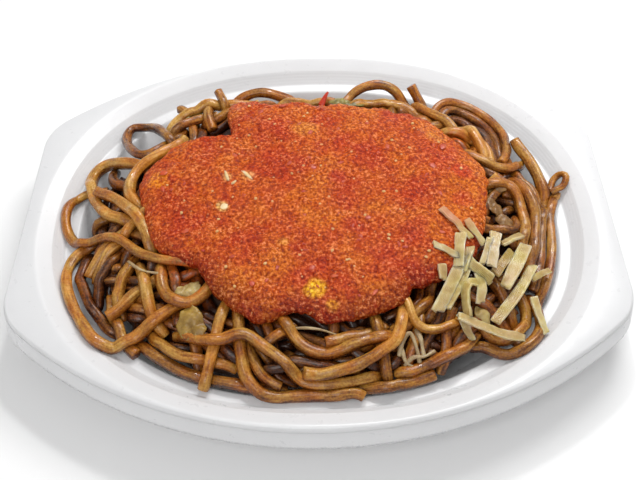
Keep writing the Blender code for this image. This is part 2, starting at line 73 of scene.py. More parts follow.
# Smaller lobes and bays along its front, which the CAD model leaves out.
SAUCE_SMALL_LOBES = (
    (-108, 0.0014, 7),
    (-99, -0.0030, 6),
    (-80, 0.0033, 12),
    (-60, 0.0018, 8),
    (-46, 0.0018, 6),
)
# Section of the well: width from the ledge's inner edge, height above the table.
WELL_SECTION = (
    (-0.0120, PLATE_WALL),
    (-0.0085, 0.0028),
    (-0.0070, 0.0065),
    (0.0000, 0.0197),
    (0.0044, 0.0201),
    (0.0085, 0.0252),
    (0.0145, 0.0283),
)

# ---------------------------------------------------------------- camera
CAMERA_TARGET = (0.00084, -0.01524, 0.02800)
CAMERA_DISTANCE = 0.34035
CAMERA_ELEVATION = 52.0
CAMERA_YAW = -0.246
CAMERA_ROLL = 0.953
CAMERA_LENS = 47.81

# ---------------------------------------------------------------- plate
PLATE_SPOKES = (10, 20, 36)
# How far each bend of the plate's section reaches, from its floor out to the skirt.
BEND_REACHES = (0.0012, 0.0012, 0.0008, 0.0006, 0.0004, 0.0013, 0.0008, 0.0003, 0.0003, 0.0003)
BEND_STEPS = 4
RIB_HEIGHT = 0.0016
RIB_PITCH = 0.0012

# ---------------------------------------------------------------- noodles
POINT_SPACING = 0.0021
TUBE_SPACING = 0.0013
FILLER_TUBE_SPACING = 0.0018
TUBE_SIDES = 12
SECTION_POWER = 3.4
# Places of a section's corners round each quarter, in degrees: close to the corner, so it stays square.
QUARTER_TURNS = (0.0, 35.0, 55.0)
CORE_DEPTH = 0.0095
BACK_SLOPE_RISE = 0.1088
BACK_SLOPE_FALL = 0.1045
CORE_EDGE = 0.97
CORE_BACK_PULL = 0.12
FILLER_COUNT = 84
BACK_FILLER_COUNT = 18
FEWEST_POINTS = 8
FILLER_LENGTH = (0.045, 0.120)
RELAX_ROUNDS = 260
NEIGHBOUR_EVERY = 6

# Strands that show: points (x, y) and the height over the heap, in millimetres.
STRANDS = {
    "ring_loop": ((-60, 33, -4), (-63.5, 36.5, 1), (-66.5, 41.5, 2.2), (-70, 47, 2.2), (-74, 52, 2),
                  (-79, 55, 2), (-84, 55, 2), (-86, 50, 2), (-84.5, 43, 2), (-81, 36, 2), (-77, 30.5, 2),
                  (-72.5, 28.3, 2), (-68.5, 31, 1.5), (-65.5, 36, 0), (-62, 41, -1), (-58, 46, -3)),
    "left_bow": ((-57, 38, -3), (-66, 28, 2), (-75, 20, 2.5), (-78, 10, 2), (-75, 2, 1), (-70, -3, -1),
                 (-66, -9, -6)),
    "upper_left_loop": ((-70, 22, -5), (-76, 25, 0), (-85, 29, 1), (-92, 32, 1), (-97, 28, 1),
                        (-98, 21, 1), (-95, 13, 1), (-91, 5, 1), (-87, -1, 1), (-82, -5, 0),
                        (-76, -7, -2), (-70, -10, -6)),
    "upper_left_inner": ((-88, 28, -3), (-88, 21, -1), (-83, 15, -1), (-76, 15, -4)),
    "left_loop": ((-90, 18, -4), (-98, 17, -1), (-104, 10, 0), (-105, 2, 0), (-103, -6, 0),
                  (-98, -12, 0), (-92, -14, 1), (-84, -15, 2), (-76, -19, 2.5), (-70, -25, 2.5),
                  (-63, -29, 2.5), (-55, -31, 2.5), (-48, -32, 2), (-41, -33, -2)),
    "square_end": ((-92, 11, 3), (-84, 5, 3.5), (-77, -2, 3.5), (-72, -8, 3), (-68, -15, 2),
                   (-65, -22, 0), (-63, -28, -4)),
    "under_square_end": ((-65, 0, -3), (-70, -5, 0), (-74, -11, 0.5), (-78, -17, 0), (-83, -24, -1),
                         (-88, -30, -4)),
    "lower_left_loop": ((-90, -11, -3), (-97, -16, 0), (-100, -23, 0), (-99, -32, 0), (-95, -42, 0.5),
                        (-89, -52, 1), (-83, -60, 1), (-77, -62, 1), (-70, -59, 1), (-62, -54, 1),
                        (-55, -49, 0), (-48, -45, -5)),
    "left_inner": ((-93, -16, -3), (-94, -26, -1), (-91, -36, -0.5), (-86, -44, -0.5), (-80, -51, -1),
                   (-72, -56, -4)),
    "left_pale_short": ((-91, -28, -1.5), (-86, -22, -0.5), (-81, -15, -1), (-76, -8, -4)),
    "left_red": ((-87, -42, -2.5), (-84, -32, -1), (-80, -23, -1), (-76, -14, -3), (-71, -6, -6)),
    "left_cut": ((-79, -49, 1), (-72, -44, 1.5), (-66, -39, 0), (-60, -34, -4)),
    "left_pale": ((-69, -29, -3), (-66, -36, 0), (-65, -43, 0.5), (-62, -50, -0.5), (-58, -57, -4)),
    "left_hook": ((-62, -28, -3), (-60, -34, 0), (-59, -40, 1.5), (-56, -46, 2), (-50, -49, 2),
                  (-44, -47, 1.5), (-40, -41, 0), (-37, -34, -5)),
    "left_low": ((-80, -38, -4), (-79, -45, -1.5), (-77, -52, -1), (-73, -58, -1.5), (-67, -62, -3)),
    "left_deep": ((-72, -24, -5), (-75, -32, -2.5), (-77, -39, -3), (-74, -48, -5)),
    "front_left_edge": ((-73, -56, -4), (-66, -61, -1), (-60, -65, 0), (-50, -71, 0), (-40, -74.5, 0),
                        (-30, -76.5, 0), (-20, -78, -1), (-12, -78, -3)),
    "front_left_arc": ((-62, -56, -4), (-57, -62, 0), (-52, -66, 1), (-45, -68, 1), (-38, -69, 0),
                       (-30, -70, -4)),
    "front_upright": ((-33, -44, -4), (-35.5, -52, 0), (-37, -59, 1.5), (-38.5, -66, 1.5), (-40, -72, 1),
                      (-41.5, -77, -1)),
    "front_turn": ((-30, -46, -4), (-29.8, -52, -1), (-28.8, -60, 0), (-27.8, -67, 0.5), (-27.3, -72.5, 1),
                   (-25.3, -77, 1), (-21, -80.3, 1), (-15, -81.3, 0.5), (-5, -81, 0), (6, -80.5, 0), (16, -79, -2)),
    "front_diagonal": ((-53, -57, -4), (-44, -61.5, 0), (-37, -64, 2), (-31, -62.5, 3), (-26.3, -62, 3),
                       (-22, -65, 3), (-17, -68.5, 2.5), (-12, -71.8, 2), (-8.5, -75, 1.5), (-4, -78, 1),
                       (3, -79, 1), (10, -78, 1), (16.5, -76, 0.5), (22, -74.5, -1), (27, -72, -4)),
    "front_ragged": ((-27, -60, -4), (-25, -67, -0.5), (-21.5, -73, 0.5), (-17.5, -77, 1), (-14, -79, 0.5)),
    "front_torn": ((-9, -57, -2), (-12.5, -60.5, 0.5), (-16, -62.5, 1), (-19, -65, 0.5)),
    "front_bow": ((-15, -50, -5), (-13.5, -55, -1), (-11, -60.5, 1), (-8, -64.5, 1.5), (-4, -67.5, 1.5),
                  (1, -69, 1.5), (6, -68, 1.5), (12, -65.3, 1), (18, -63.3, 0.5), (24, -62.5, -1), (30, -60, -4)),
    "front_sweep": ((-5.5, -76, 2), (1, -75.6, 2.5), (7, -74.8, 3), (13.3, -73.3, 3), (19.7, -70.5, 3),
                    (25, -66.8, 3), (28.5, -63, 2.5), (31, -58, 1.5), (32, -53, 0), (32.5, -46, -5)),
    "front_curl": ((31.5, -46, -4), (32.5, -51.5, 0.5), (33.5, -56, 2), (36, -59.5, 2.5), (40, -61, 2.5),
                   (44.3, -60, 2), (48, -58, 0.5), (52, -52, -4)),
    "front_short": ((2.5, -65.8, 0.5), (7, -65.3, 0.5), (12, -63.8, 0), (18, -61.5, -1), (26, -58, -4)),
    "front_right_edge": ((6, -80, -2), (16, -79.5, 0), (26, -77.5, 0.5), (35.5, -76, 0.5), (42, -74, 0.5)),
    "front_right_rise": ((28, -74, -2), (36, -72.5, 0.5), (43, -70, 1.5), (50, -66, 1), (56, -61, -1),
                         (60, -55, -4)),
    "front_post_left": ((-50, -50, -4), (-47, -57, -2), (-45, -65, -1.5), (-44, -72, -2)),
    "front_post_middle": ((20, -54, -4), (22.5, -62, -1.5), (24, -70, -1), (24.3, -77, -1.5)),
    "front_post_right": ((38, -52, -4), (36, -60, -2), (33, -67, -2), (30, -75, -2.5)),
    "front_post_far": ((50, -50, -3), (48, -56, -1), (46, -64, -1), (44, -72, -2.5)),
    "front_under_left": ((-22, -48, -4), (-20, -56, -2.5), (-17, -64, -3), (-12, -72, -4)),
    "front_under_middle": ((4, -50, -4), (6, -58, -3), (4, -66, -3.5), (-2, -73, -4)),
    "right_front_turn": ((55, -60, -4), (62, -63, 0), (68, -66, 1), (75, -65, 1), (81, -60, 1),
                         (84, -54, 1), (84, -47, 0.5), (82, -40, -3)),
    "right_under_strips": ((50, -42, -3), (60, -48, -1), (69, -54, -1), (76, -60, -3)),
    "right_under_strips_b": ((62, -30, -3), (68, -40, -1), (72, -50, -1), (74, -58, -3)),
    "right_outer": ((100.5, 13, 1), (98, 8.5, 0.5), (96.3, 2, 0.5), (95.5, -6, 0), (94.5, -16, 0),
                    (92.5, -25, 0), (89, -34, 0), (84.5, -42, -1), (79, -48, -4)),
    "right_second": ((93, 15, -3), (91.5, 9, -1), (91, 1, -1), (90, -8, -1), (88.5, -20, -0.5),
                     (86, -30, -0.5), (82, -38, -3)),
    "right_third": ((78, 14, -4), (82.5, 11.5, 0.5), (86.5, 5, 1.5), (88, -4, 1.5), (87, -14, 1),
                    (84.5, -25, 0.5), (81, -33, -4)),
    "right_fourth": ((65, 5, -4), (71, 8.5, 0.5), (77.5, 9, 1), (82, 4, 1), (83, -5, 0.5), (82, -15, 0),
                     (79, -26, -3)),
    "right_peak": ((86.3, 38, 4.5), (89.5, 32, 4), (92.5, 25, 3.5), (94.8, 17.5, 2.5), (95.5, 10, 0.5),
                   (95, 2, -3)),
    "right_stem": ((71, 7, -4), (73.5, 9.5, 0), (75.5, 12, 2.5)),
    "right_arc": ((51, 38, -4), (57, 38.5, 0), (64, 38, 1), (70, 34, 1), (73, 28, 0), (74, 20, -4)),
    "right_bow": ((61, 27, -3), (68, 21.5, 0.5), (75, 18, 1), (81, 18.5, 1), (85, 22, 0.5),
                  (89, 29, -2)),
    "right_light": ((83, 20, -3), (85, 15, 0), (89, 9, 0.5), (91, 3, 0), (90, -5, -3)),
    "back_right_outer": ((51, 52, -6), (54, 59, 1), (60, 63.5, 4.5), (67, 63, 5), (74, 58.5, 5),
                         (80, 51, 4), (83, 42, 3), (82, 33, 1), (79, 24, -3)),
    "back_right_second": ((53, 48, -5), (58, 57, 1.5), (65, 58.5, 2), (72, 54, 1.5), (77, 46, 1),
                          (79, 37, 0), (79, 29, -2), (79, 20, -5)),
    "back_right_inner": ((56, 47, -4), (61, 53, -1), (67, 52, -1.5), (72, 45, -2), (75, 36, -2),
                         (75, 28, -3), (74, 20, -5)),
    "back_right_edge": ((43, 58, -1), (48, 54, 1.5), (53, 49, 2), (58, 44, 1), (62, 38, -1),
                        (65, 31, -4)),
    "back_right_pale": ((58, 42, -2), (63, 39, 1), (68, 35, 1.5), (71, 29, 1), (72, 22, -2)),
    "back_arch": ((11, 57, -6), (14, 62.5, 0), (18, 65.8, 4), (23.5, 68, 6.5), (30, 68.5, 7.5),
                  (35.5, 67, 5.5), (39, 64, 0.5), (41.5, 58, -6)),
    "back_left_arch": ((-41, 57, -6), (-37.5, 63, 0), (-32, 66.5, 3), (-26, 67.5, 4), (-19.5, 66.5, 2.5),
                       (-13, 63.5, -0.5), (-8, 58, -5)),
    "back_upright": ((50, 54, -6), (48.5, 59, -1), (45.5, 63.5, 4.5), (43, 66.3, 9)),
    "back_spike": ((-39, 52, -6), (-40.5, 57, -1), (-42.5, 62, 4), (-44.5, 65.5, 8.5)),
    "back_stub": ((-53, 50, -5), (-56, 55, 1), (-59.5, 59, 3.5), (-62, 61, 4)),
    "back_left_long": ((-66, 47, -3), (-64.5, 51, 0.5), (-60, 55, 1.5), (-52, 57, 2), (-43, 60, 1.5),
                       (-34, 62, 0), (-26, 62, -3)),
    "back_left_post": ((-46, 44, -3), (-48, 50, 2), (-48.5, 56, 2.5), (-48, 60, 1)),
    "back_left_second": ((-62, 41, -3), (-60, 45, 0.5), (-56, 49, 1), (-50, 52, 1), (-44, 55, -2)),
    "back_low": ((-20, 57, -4), (-11, 59.5, -2.5), (0, 60.5, -3), (10, 60, -3), (20, 58, -4)),
    "back_low_right": ((10, 56, -4), (20, 60, -2), (31, 60, -1), (40, 57, -2), (47, 52, -5)),
    "back_low_left": ((-50, 47, -4), (-41, 54, -1), (-31, 58, -0.5), (-21, 59, -2), (-12, 58, -5)),
    "right_front_inner": ((77, -38, -4), (79, -46, -1), (78, -54, 0), (72, -60, 0), (64, -59, -1.5),
                          (58, -54, -4)),
}
THIN_LOOP = ((99.6, 11, 1), (101.8, 13, 2), (104.6, 14.3, 3), (106.3, 17.6, 3.2), (104.6, 21, 3), (101.6, 20.6, 2.2),
             (100.2, 17.4, 1.6), (100, 13.5, 0.5))
THIN_LOOP_RADIUS = 0.00125
# Places that no hidden strand fills, where the plate shows through a loop: middle (x, y) and reach.
CLEARINGS = ((-0.077, 0.043, 0.0095), (-0.098, 0.004, 0.0070), (-0.094, -0.036, 0.0045))

# ---------------------------------------------------------------- pickled strips
# Route of each: points (x, y) and the height over the heap, in millimetres; then width, depth and
# tone, from 0, yellow, to 1, white.
STRIPS = (
    (((43.5, -30, 7.8), (49, -32, 7.4), (56, -35.5, 6.2)), 2.9, 2.2, 0.75),
    (((54.5, -24.5, 7.8), (53.6, -30, 7.4), (52.4, -38, 6.4)), 4.2, 2.4, 0.65),
    (((54.5, -34, 5.8), (49, -45, 5.0), (43.5, -54.5, 4.4)), 5.0, 2.5, 0.70),
    (((56.5, -36, 4.8), (52, -45, 4.6), (47, -53.5, 4.2)), 3.6, 2.4, 0.62),
    (((48, -13, 8.0), (53, -18.5, 7.8), (58.5, -25.5, 6.8)), 2.6, 1.8, 0.60),
    (((57.5, -17.5, 7.4), (60, -21.5, 7.0), (63.5, -26.5, 5.8)), 2.5, 1.8, 0.60),
    (((55.5, -34, 6.2), (60, -38, 6.0), (65, -41.5, 5.4)), 4.6, 2.5, 0.60),
    (((60.5, -38.5, 4.4), (61, -44, 4.6), (60, -50, 4.4)), 4.3, 2.4, 0.68),
    (((66, -24.5, 6.4), (64, -30, 5.8), (62, -35, 5.4)), 2.5, 2.0, 0.80),
    (((68.8, -21.5, 6.2), (67.4, -28, 6.6), (65.3, -36.5, 6.2)), 4.4, 2.4, 0.90),
    (((79.5, -19.3, 4.6), (75.5, -22, 5.0), (71, -25.5, 5.4)), 3.3, 2.3, 0.60),
    (((80.5, -24.5, 5.8), (75.5, -34, 6.4), (70, -43.5, 5.8)), 5.3, 2.8, 0.75),
    (((75, -27.5, 4.6), (71, -32.5, 4.8), (66.5, -38.5, 5.0)), 3.9, 2.4, 0.20),
    (((82.6, -32.3, 4.8), (75.7, -43.5, 5.0), (65, -56.5, 4.6)), 4.0, 2.3, 0.60),
    (((90, -31.5, 4.6), (86.2, -34.2, 5.0), (81.5, -37.6, 5.0)), 2.7, 1.9, 0.45),
    (((59, -43.5, 6.0), (56, -44.3, 6.6), (54.3, -48, 6.0), (55, -57, 4.4)), 3.4, 2.2, 0.50),
    (((51, -56.5, 5.8), (58, -59, 6.2), (67, -60.5, 6.2), (76, -61, 5.0)), 3.9, 2.4, 0.65),
    (((51.5, -55, 4.4), (54, -59, 3.8), (56.5, -62.5, 2.8)), 2.6, 1.8, 0.60),
    (((81.5, -44.5, 5.0), (83, -52, 5.2), (84.5, -58.5, 4.4)), 3.1, 2.0, 0.85),
    (((46, -38, 6.8), (46.3, -43, 6.0)), 3.5, 2.4, 0.55),
    (((58, -29.3, 6.6), (56.2, -34.5, 6.6), (54.4, -39.8, 6.2)), 3.2, 2.2, 0.60),
)
# Middle (x, y) and reach of the sauce's stain on the strips.
STRIP_STAIN = ((0.0535, -0.0140), 0.0115)


# ---------------------------------------------------------------- outlines and heights

def outer_edge(out, segments=PLATE_SPOKES):
    """The plate's outer edge, moved out by a distance: flat ends, round corners, bowed long sides."""
    end_segments, corner_segments, side_segments = segments
    half_length = EDGE_HALF_LENGTH + out
    corner = CORNER_RADIUS + out
    side = LONG_SIDE_RADIUS + out
    side_centre = EDGE_HALF_WIDTH - LONG_SIDE_RADIUS
    corner_x = half_length - corner
    corner_y = side_centre + math.sqrt((side - corner) ** 2 - corner_x ** 2)
    turn = math.atan2(corner_y - side_centre, corner_x)
    quarter = [(half_length, corner_y * i / end_segments) for i in range(end_segments)]
    for i in range(corner_segments):
        angle = turn * i / corner_segments
        quarter.append((corner_x + corner * math.cos(angle), corner_y + corner * math.sin(angle)))
    for i in range(side_segments):
        angle = turn + (math.pi / 2 - turn) * i / side_segments
        quarter.append((side * math.cos(angle), side_centre + side * math.sin(angle)))
    points = list(quarter)
    points += [(0.0, side_centre + side)]
    points += [(-x, y) for x, y in reversed(quarter)]
    points += [(-x, -y) for x, y in quarter[1:]]
    points += [(0.0, -side_centre - side)]
    points += [(x, -y) for x, y in reversed(quarter[1:])]
    return np.array(points)


def oval_share(x, y, half_length=LEDGE_HALF_LENGTH, half_width=LEDGE_HALF_WIDTH, power=OVAL_POWER):
    """How far out a point is, as a share of the way to an oval's edge."""
    return (np.abs(x / half_length) ** power + np.abs(y / half_width) ** power) ** (1 / power)


def well_ring(width):
    """The well's oval, this much wider than the ledge's inner edge, one point a spoke."""
    edge = outer_edge(0.0)
    squeezed = edge * (LEDGE_HALF_LENGTH / EDGE_HALF_LENGTH, LEDGE_HALF_WIDTH / EDGE_HALF_WIDTH)
    ways = squeezed / np.linalg.norm(squeezed, axis=1)[:, None]
    share = oval_share(ways[:, 0], ways[:, 1], LEDGE_HALF_LENGTH + width, LEDGE_HALF_WIDTH + width)
    return ways / share[:, None]


def sauce_reach(angle):
    """Distance from the sauce's centre to its edge in a direction: an oval with lobes and bays."""
    x, y = np.cos(angle), np.sin(angle)
    reach = 1.0 / oval_share(x, y, SAUCE_HALF_LENGTH, SAUCE_HALF_WIDTH, SAUCE_POWER)
    degrees = np.degrees(angle)
    for direction, lobe, half_width in SAUCE_LOBES + SAUCE_SMALL_LOBES:
        away = (degrees - direction + 180.0) % 360.0 - 180.0
        reach = reach + lobe * np.exp(-(away / half_width) ** 2)
    return reach


def beyond_sauce(x, y):
    """Distance outside the sauce's edge, negative under it."""
    away_x, away_y = x - SAUCE_CENTRE[0], y - SAUCE_CENTRE[1]
    return np.hypot(away_x, away_y) - sauce_reach(np.arctan2(away_y, away_x))


def heap_top(x, y):
    """Height of the middle of a strand that lies on top of the heap."""
    share = np.minimum(oval_share(x, y), 1.0)
    return EDGE_HEIGHT + CROWN_RISE - HEAP_FALL * share ** HEAP_POWER


def heap_slope(x, y):
    """Height of the middle of the outermost strands: the heap's top, and its slope down to the back."""
    behind = smooth_step(y, 0.030, 0.050)
    slope = BACK_SLOPE_RISE - BACK_SLOPE_FALL * oval_share(x, y) + 0.030 * (1.0 - behind)
    return np.minimum(heap_top(x, y), slope)


def hidden_top(x, y):
    """The most that a hidden strand's middle may reach: lower beside the sauce's front edge."""
    front = 0.0034 * smooth_step(beyond_sauce(x, y), 0.0060, 0.0010) * smooth_step(-y, 0.030, 0.045)
    return heap_slope(x, y) - 0.0002 - front


def well_width(x, y):
    """Distance outside the ledge's inner edge, negative inside the well."""
    share = oval_share(x, y)
    return (share - 1.0) * np.hypot(x, y) / np.maximum(share, 0.1)


def resting_table(radius):
    """Lowest height of the middle of a strand on the plate, against the well's width."""
    widths, heights = (np.array(column) for column in zip(*WELL_SECTION))
    tried = np.linspace(widths[0] - radius, widths[-1], 120)
    across = np.linspace(-radius, radius, 15)
    rise = np.sqrt(np.maximum(radius ** 2 - across ** 2, 0.0))
    under = np.interp(tried[:, None] + across[None, :], widths, heights)
    return tried, (under + rise[None, :]).max(axis=1)


def smooth_noise(x, y, size, seed):
    """Smooth noise from -1 to 1 over the plan, with lumps of about the given size."""
    table = np.random.default_rng(seed).uniform(-1.0, 1.0, (64, 64))
    turn = seed * 0.7
    u = (x * math.cos(turn) - y * math.sin(turn)) / size
    v = (x * math.sin(turn) + y * math.cos(turn)) / size
    i, j = np.floor(u).astype(int), np.floor(v).astype(int)
    s, t = u - i, v - j
    s, t = s * s * (3 - 2 * s), t * t * (3 - 2 * t)
    low = table[i % 64, j % 64] * (1 - s) + table[(i + 1) % 64, j % 64] * s
    high = table[i % 64, (j + 1) % 64] * (1 - s) + table[(i + 1) % 64, (j + 1) % 64] * s
    return low * (1 - t) + high * t


def smooth_step(value, start, end):
    t = np.clip((value - start) / (end - start), 0.0, 1.0)
    return t * t * (3 - 2 * t)


# ---------------------------------------------------------------- making meshes

def grid_faces(rows, columns, closed):
    """Quads over rows of points; a closed row joins its last point to its first."""
    across = columns if closed else columns - 1
    i, j = np.meshgrid(np.arange(rows - 1), np.arange(across), indexing="ij")
    start = i * columns
    after = (j + 1) % columns
    quads = np.stack([start + j, start + after, start + columns + after, start + columns + j], axis=-1)
    return quads.reshape(-1, 4)


def new_mesh(name, points, faces):
    mesh = bpy.data.meshes.new(name)
    mesh.from_pydata(np.asarray(points).tolist(), [], [list(map(int, face)) for face in faces])
    mesh.shade_smooth()
    return mesh


def face_outwards(mesh):
    mesh_edit = bmesh.new()
    mesh_edit.from_mesh(mesh)
    bmesh.ops.recalc_face_normals(mesh_edit, faces=mesh_edit.faces)
    mesh_edit.to_mesh(mesh)
    mesh_edit.free()


def add_value(mesh, name, values):
    """A number for each point, which the mesh's material reads."""
    layer = mesh.attributes.new(name, "FLOAT", "POINT")
    layer.data.foreach_set("value", np.asarray(values, dtype=np.float32))


def add_vector(mesh, name, vectors):
    """Three numbers for each point, which the mesh's material reads."""
    layer = mesh.attributes.new(name, "FLOAT_VECTOR", "POINT")
    layer.data.foreach_set("vector", np.asarray(vectors, dtype=np.float32).ravel())


def add_colour(mesh, name, colours):
    """A colour for each point, which the mesh's material reads."""
    layer = mesh.color_attributes.new(name, "FLOAT_COLOR", "POINT")
    filled = np.column_stack([colours, np.ones(len(colours))]).astype(np.float32)
    layer.data.foreach_set("color", filled.ravel())


def add_piece(name, mesh, material, slot, *replaced):
    """An object that rides with the part, in the given material, in place of any CAD nodes named; the slot is not
    used.
    """
    piece = bpy.data.objects.new(name, mesh)
    bpy.context.scene.collection.objects.link(piece)
    mesh.materials.clear()
    mesh.materials.append(material)
    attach(piece, BODY)
    if replaced:
        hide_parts(*replaced)
    return piece


def smooth_route(points, spacing):
    """Points at a nearly even spacing along a smooth curve through a route's own points."""
    knots = np.array(points, dtype=float)
    knots = np.vstack([2 * knots[0] - knots[1], knots, 2 * knots[-1] - knots[-2]])
    route = []
    for before, start, end, after in zip(knots, knots[1:], knots[2:], knots[3:]):
        count = max(1, round(float(np.linalg.norm(end - start)) / spacing))
        t = (np.arange(count) / count)[:, None]
        route.append(0.5 * (2 * start + (end - before) * t
                            + (2 * before - 5 * start + 4 * end - after) * t ** 2
                            + (3 * start - before - 3 * end + after) * t ** 3))
    route.append(knots[-2:-1])
    return np.vstack(route)


def even_route(points, spacing):
    """The same curve with its points exactly evenly apart."""
    fine = smooth_route(points, spacing / 4)
    along = np.concatenate([[0.0], np.cumsum(np.linalg.norm(np.diff(fine, axis=0), axis=1))])
    count = max(4, round(along[-1] / spacing) + 1)
    wanted = np.linspace(0.0, along[-1], count)
    return np.column_stack([np.interp(wanted, along, fine[:, k]) for k in range(3)])


def tube_points(route, radius, turn, section, end_rounding=0.14):
    """Rings of a strand's skin, with square-cut ends: array (rings, sides, 3)."""
    along = np.gradient(route, axis=0)
    along /= np.linalg.norm(along, axis=1)[:, None]
    side = np.cross(along[0], (0.0, 0.0, 1.0))
    if np.linalg.norm(side) < 0.1:
        side = np.cross(along[0], (1.0, 0.0, 0.0))
    sides = []
    for way in along:
        side = side - way * np.dot(side, way)
        side = side / np.linalg.norm(side)
        sides.append(side)
    sides = np.array(sides)
    ups = np.cross(along, sides)
    # Caps: the end rings repeated, smaller and a little further out.
    shrink = np.concatenate([[0.02, 0.90, 0.99], np.ones(len(route) - 2), [0.99, 0.90, 0.02]])
    index = np.concatenate([[0, 0, 0], np.arange(1, len(route) - 1), [-1, -1, -1]])
    push = np.concatenate([[-1.0, -0.8, -0.3], np.zeros(len(route) - 2), [0.3, 0.8, 1.0]]) * end_rounding
    cos, sin = section
    spin = turn[index][:, None]
    a = (np.cos(spin) * cos - np.sin(spin) * sin)[:, :, None]
    b = (np.sin(spin) * cos + np.cos(spin) * sin)[:, :, None]
    size = (radius[index] * shrink)[:, None, None]
    centre = route[index] + along[index] * (push * radius[index])[:, None]
    return centre[:, None, :] + size * (a * sides[index][:, None, :] + b * ups[index][:, None, :])


def rounded_square(power, flatness=1.0):
    """Section of a strand, one unit each way: arrays of x and y, three points a quarter."""
    angle = np.radians(np.add.outer(np.arange(4) * 90.0, QUARTER_TURNS).ravel())
    cos, sin = np.cos(angle), np.sin(angle)
    reach = (np.abs(cos) ** power + np.abs(sin) ** power) ** (-1 / power)
    return cos * reach, sin * reach * flatness


# ---------------------------------------------------------------- materials

class Nodes:
    """A material's node tree, with short calls for the nodes used here."""

    def __init__(self, name, roughness, specular=0.5):
        self.material = bpy.data.materials.new(name)
        self.material.use_nodes = True
        self.tree = self.material.node_tree
        self.shader = self.tree.nodes["Principled BSDF"]
        self.set("Roughness", roughness)
        self.set("Specular IOR Level", specular)
        self.place = self.node("ShaderNodeTexCoord").outputs["Object"]

    def node(self, kind, **settings):
        made = self.tree.nodes.new(kind)
        for name, value in settings.items():
            setattr(made, name, value)
        return made

    def link(self, output, target):
        self.tree.links.new(output, target)

    def set(self, socket, value):
        if isinstance(value, bpy.types.NodeSocket):
            self.link(value, self.shader.inputs[socket])
        else:
            self.shader.inputs[socket].default_value = value

    def noise(self, size, detail=3.0, roughness=0.55, place=None):
        """Noise from 0 to 1 with lumps of about the given size in metres."""
        made = self.node("ShaderNodeTexNoise")
        self.link(place or self.place, made.inputs["Vector"])
        made.inputs["Scale"].default_value = 1.0 / size
        made.inputs["Detail"].default_value = detail
        made.inputs["Roughness"].default_value = roughness
        return made.outputs["Fac"]

    def cells(self, size, output="Distance", spread=1.0):
        made = self.node("ShaderNodeTexVoronoi")
        self.link(self.place, made.inputs["Vector"])
        made.inputs["Scale"].default_value = 1.0 / size
        made.inputs["Randomness"].default_value = spread
        return made.outputs[output]

    def height(self):
        """Height over the table in metres."""
        made = self.node("ShaderNodeSeparateXYZ")
        self.link(self.place, made.inputs["Vector"])
        return made.outputs["Z"]

    def attribute(self, name, output="Fac"):
        return self.node("ShaderNodeAttribute", attribute_name=name).outputs[output]

    def math(self, operation, first, second=0.0, third=None):
        made = self.node("ShaderNodeMath", operation=operation)
        for socket, value in zip(made.inputs, (first, second, third)):
            if isinstance(value, bpy.types.NodeSocket):
                self.link(value, socket)
            elif value is not None:
                socket.default_value = value
        return made.outputs[0]

    def spread(self, value, low, high, to_low=0.0, to_high=1.0):
        made = self.node("ShaderNodeMapRange")
        self.link(value, made.inputs["Value"])
        for name, number in (("From Min", low), ("From Max", high), ("To Min", to_low), ("To Max", to_high)):
            made.inputs[name].default_value = number
        return made.outputs["Result"]

    def ramp(self, value, stops):
        made = self.node("ShaderNodeValToRGB")
        elements = made.color_ramp.elements
        for place, colour in stops[2:]:
            elements.new(place).color = (*colour, 1.0)
        for element, (place, colour) in zip((elements[0], elements[-1]), (stops[0], stops[1])):
            element.position = place
            element.color = (*colour, 1.0)
        self.link(value, made.inputs["Fac"])
        return made.outputs["Color"]

    def mix(self, share, first, second, blend="MIX"):
        made = self.node("ShaderNodeMix", data_type="RGBA", blend_type=blend)
        for index, value in ((0, share), (6, first), (7, second)):
            if isinstance(value, bpy.types.NodeSocket):
                self.link(value, made.inputs[index])
            elif index == 0:
                made.inputs[index].default_value = value
            else:
                made.inputs[index].default_value = (*value, 1.0)
        return made.outputs[2]

    def bump(self, height, distance, strength=1.0, below=None):
        made = self.node("ShaderNodeBump")
        self.link(height, made.inputs["Height"])
        made.inputs["Distance"].default_value = distance
        made.inputs["Strength"].default_value = strength
        if below is not None:
            self.link(below, made.inputs["Normal"])
        self.link(made.outputs["Normal"], self.shader.inputs["Normal"])
        return made.outputs["Normal"]


def floor_material():
    made = Nodes("floor_white", 0.8, 0.2)
    cloud = made.noise(0.4)
    made.set("Base Color", made.ramp(cloud, ((0.3, (0.95, 0.95, 0.95)), (0.7, (0.97, 0.97, 0.97)))))
    return made.material


def plate_material():
    """White formed plastic that lets light through, with faint rings on its wall and fine ribs."""
    made = Nodes("plate_white", 0.34)
    cloud = made.noise(0.03, 2.0)
    made.set("Base Color", made.ramp(cloud, ((0.3, (0.77, 0.77, 0.78)), (0.7, (0.80, 0.80, 0.81)))))
    made.set("Roughness", made.spread(made.noise(0.004), 0.3, 0.7, 0.26, 0.40))
    made.set("Subsurface Weight", 0.45)
    made.set("Subsurface Radius", (0.006, 0.006, 0.006))
    made.set("Subsurface Scale", 1.0)
    ribs = made.math("SINE", made.attribute("rib_place"))
    ribs = made.math("MULTIPLY", ribs, made.attribute("rib_depth"))
    ripple = made.bump(ribs, 0.00022, 1.0)
    rings = made.math("SINE", made.math("MULTIPLY", made.height(), 2 * math.pi / 0.0011))
    rings = made.math("MULTIPLY", rings, made.attribute("wall"))
    ripple = made.bump(rings, 0.00002, 0.8, below=ripple)
    made.bump(made.noise(0.0014, 2.0), 0.00005, 0.5, below=ripple)
    return made.material


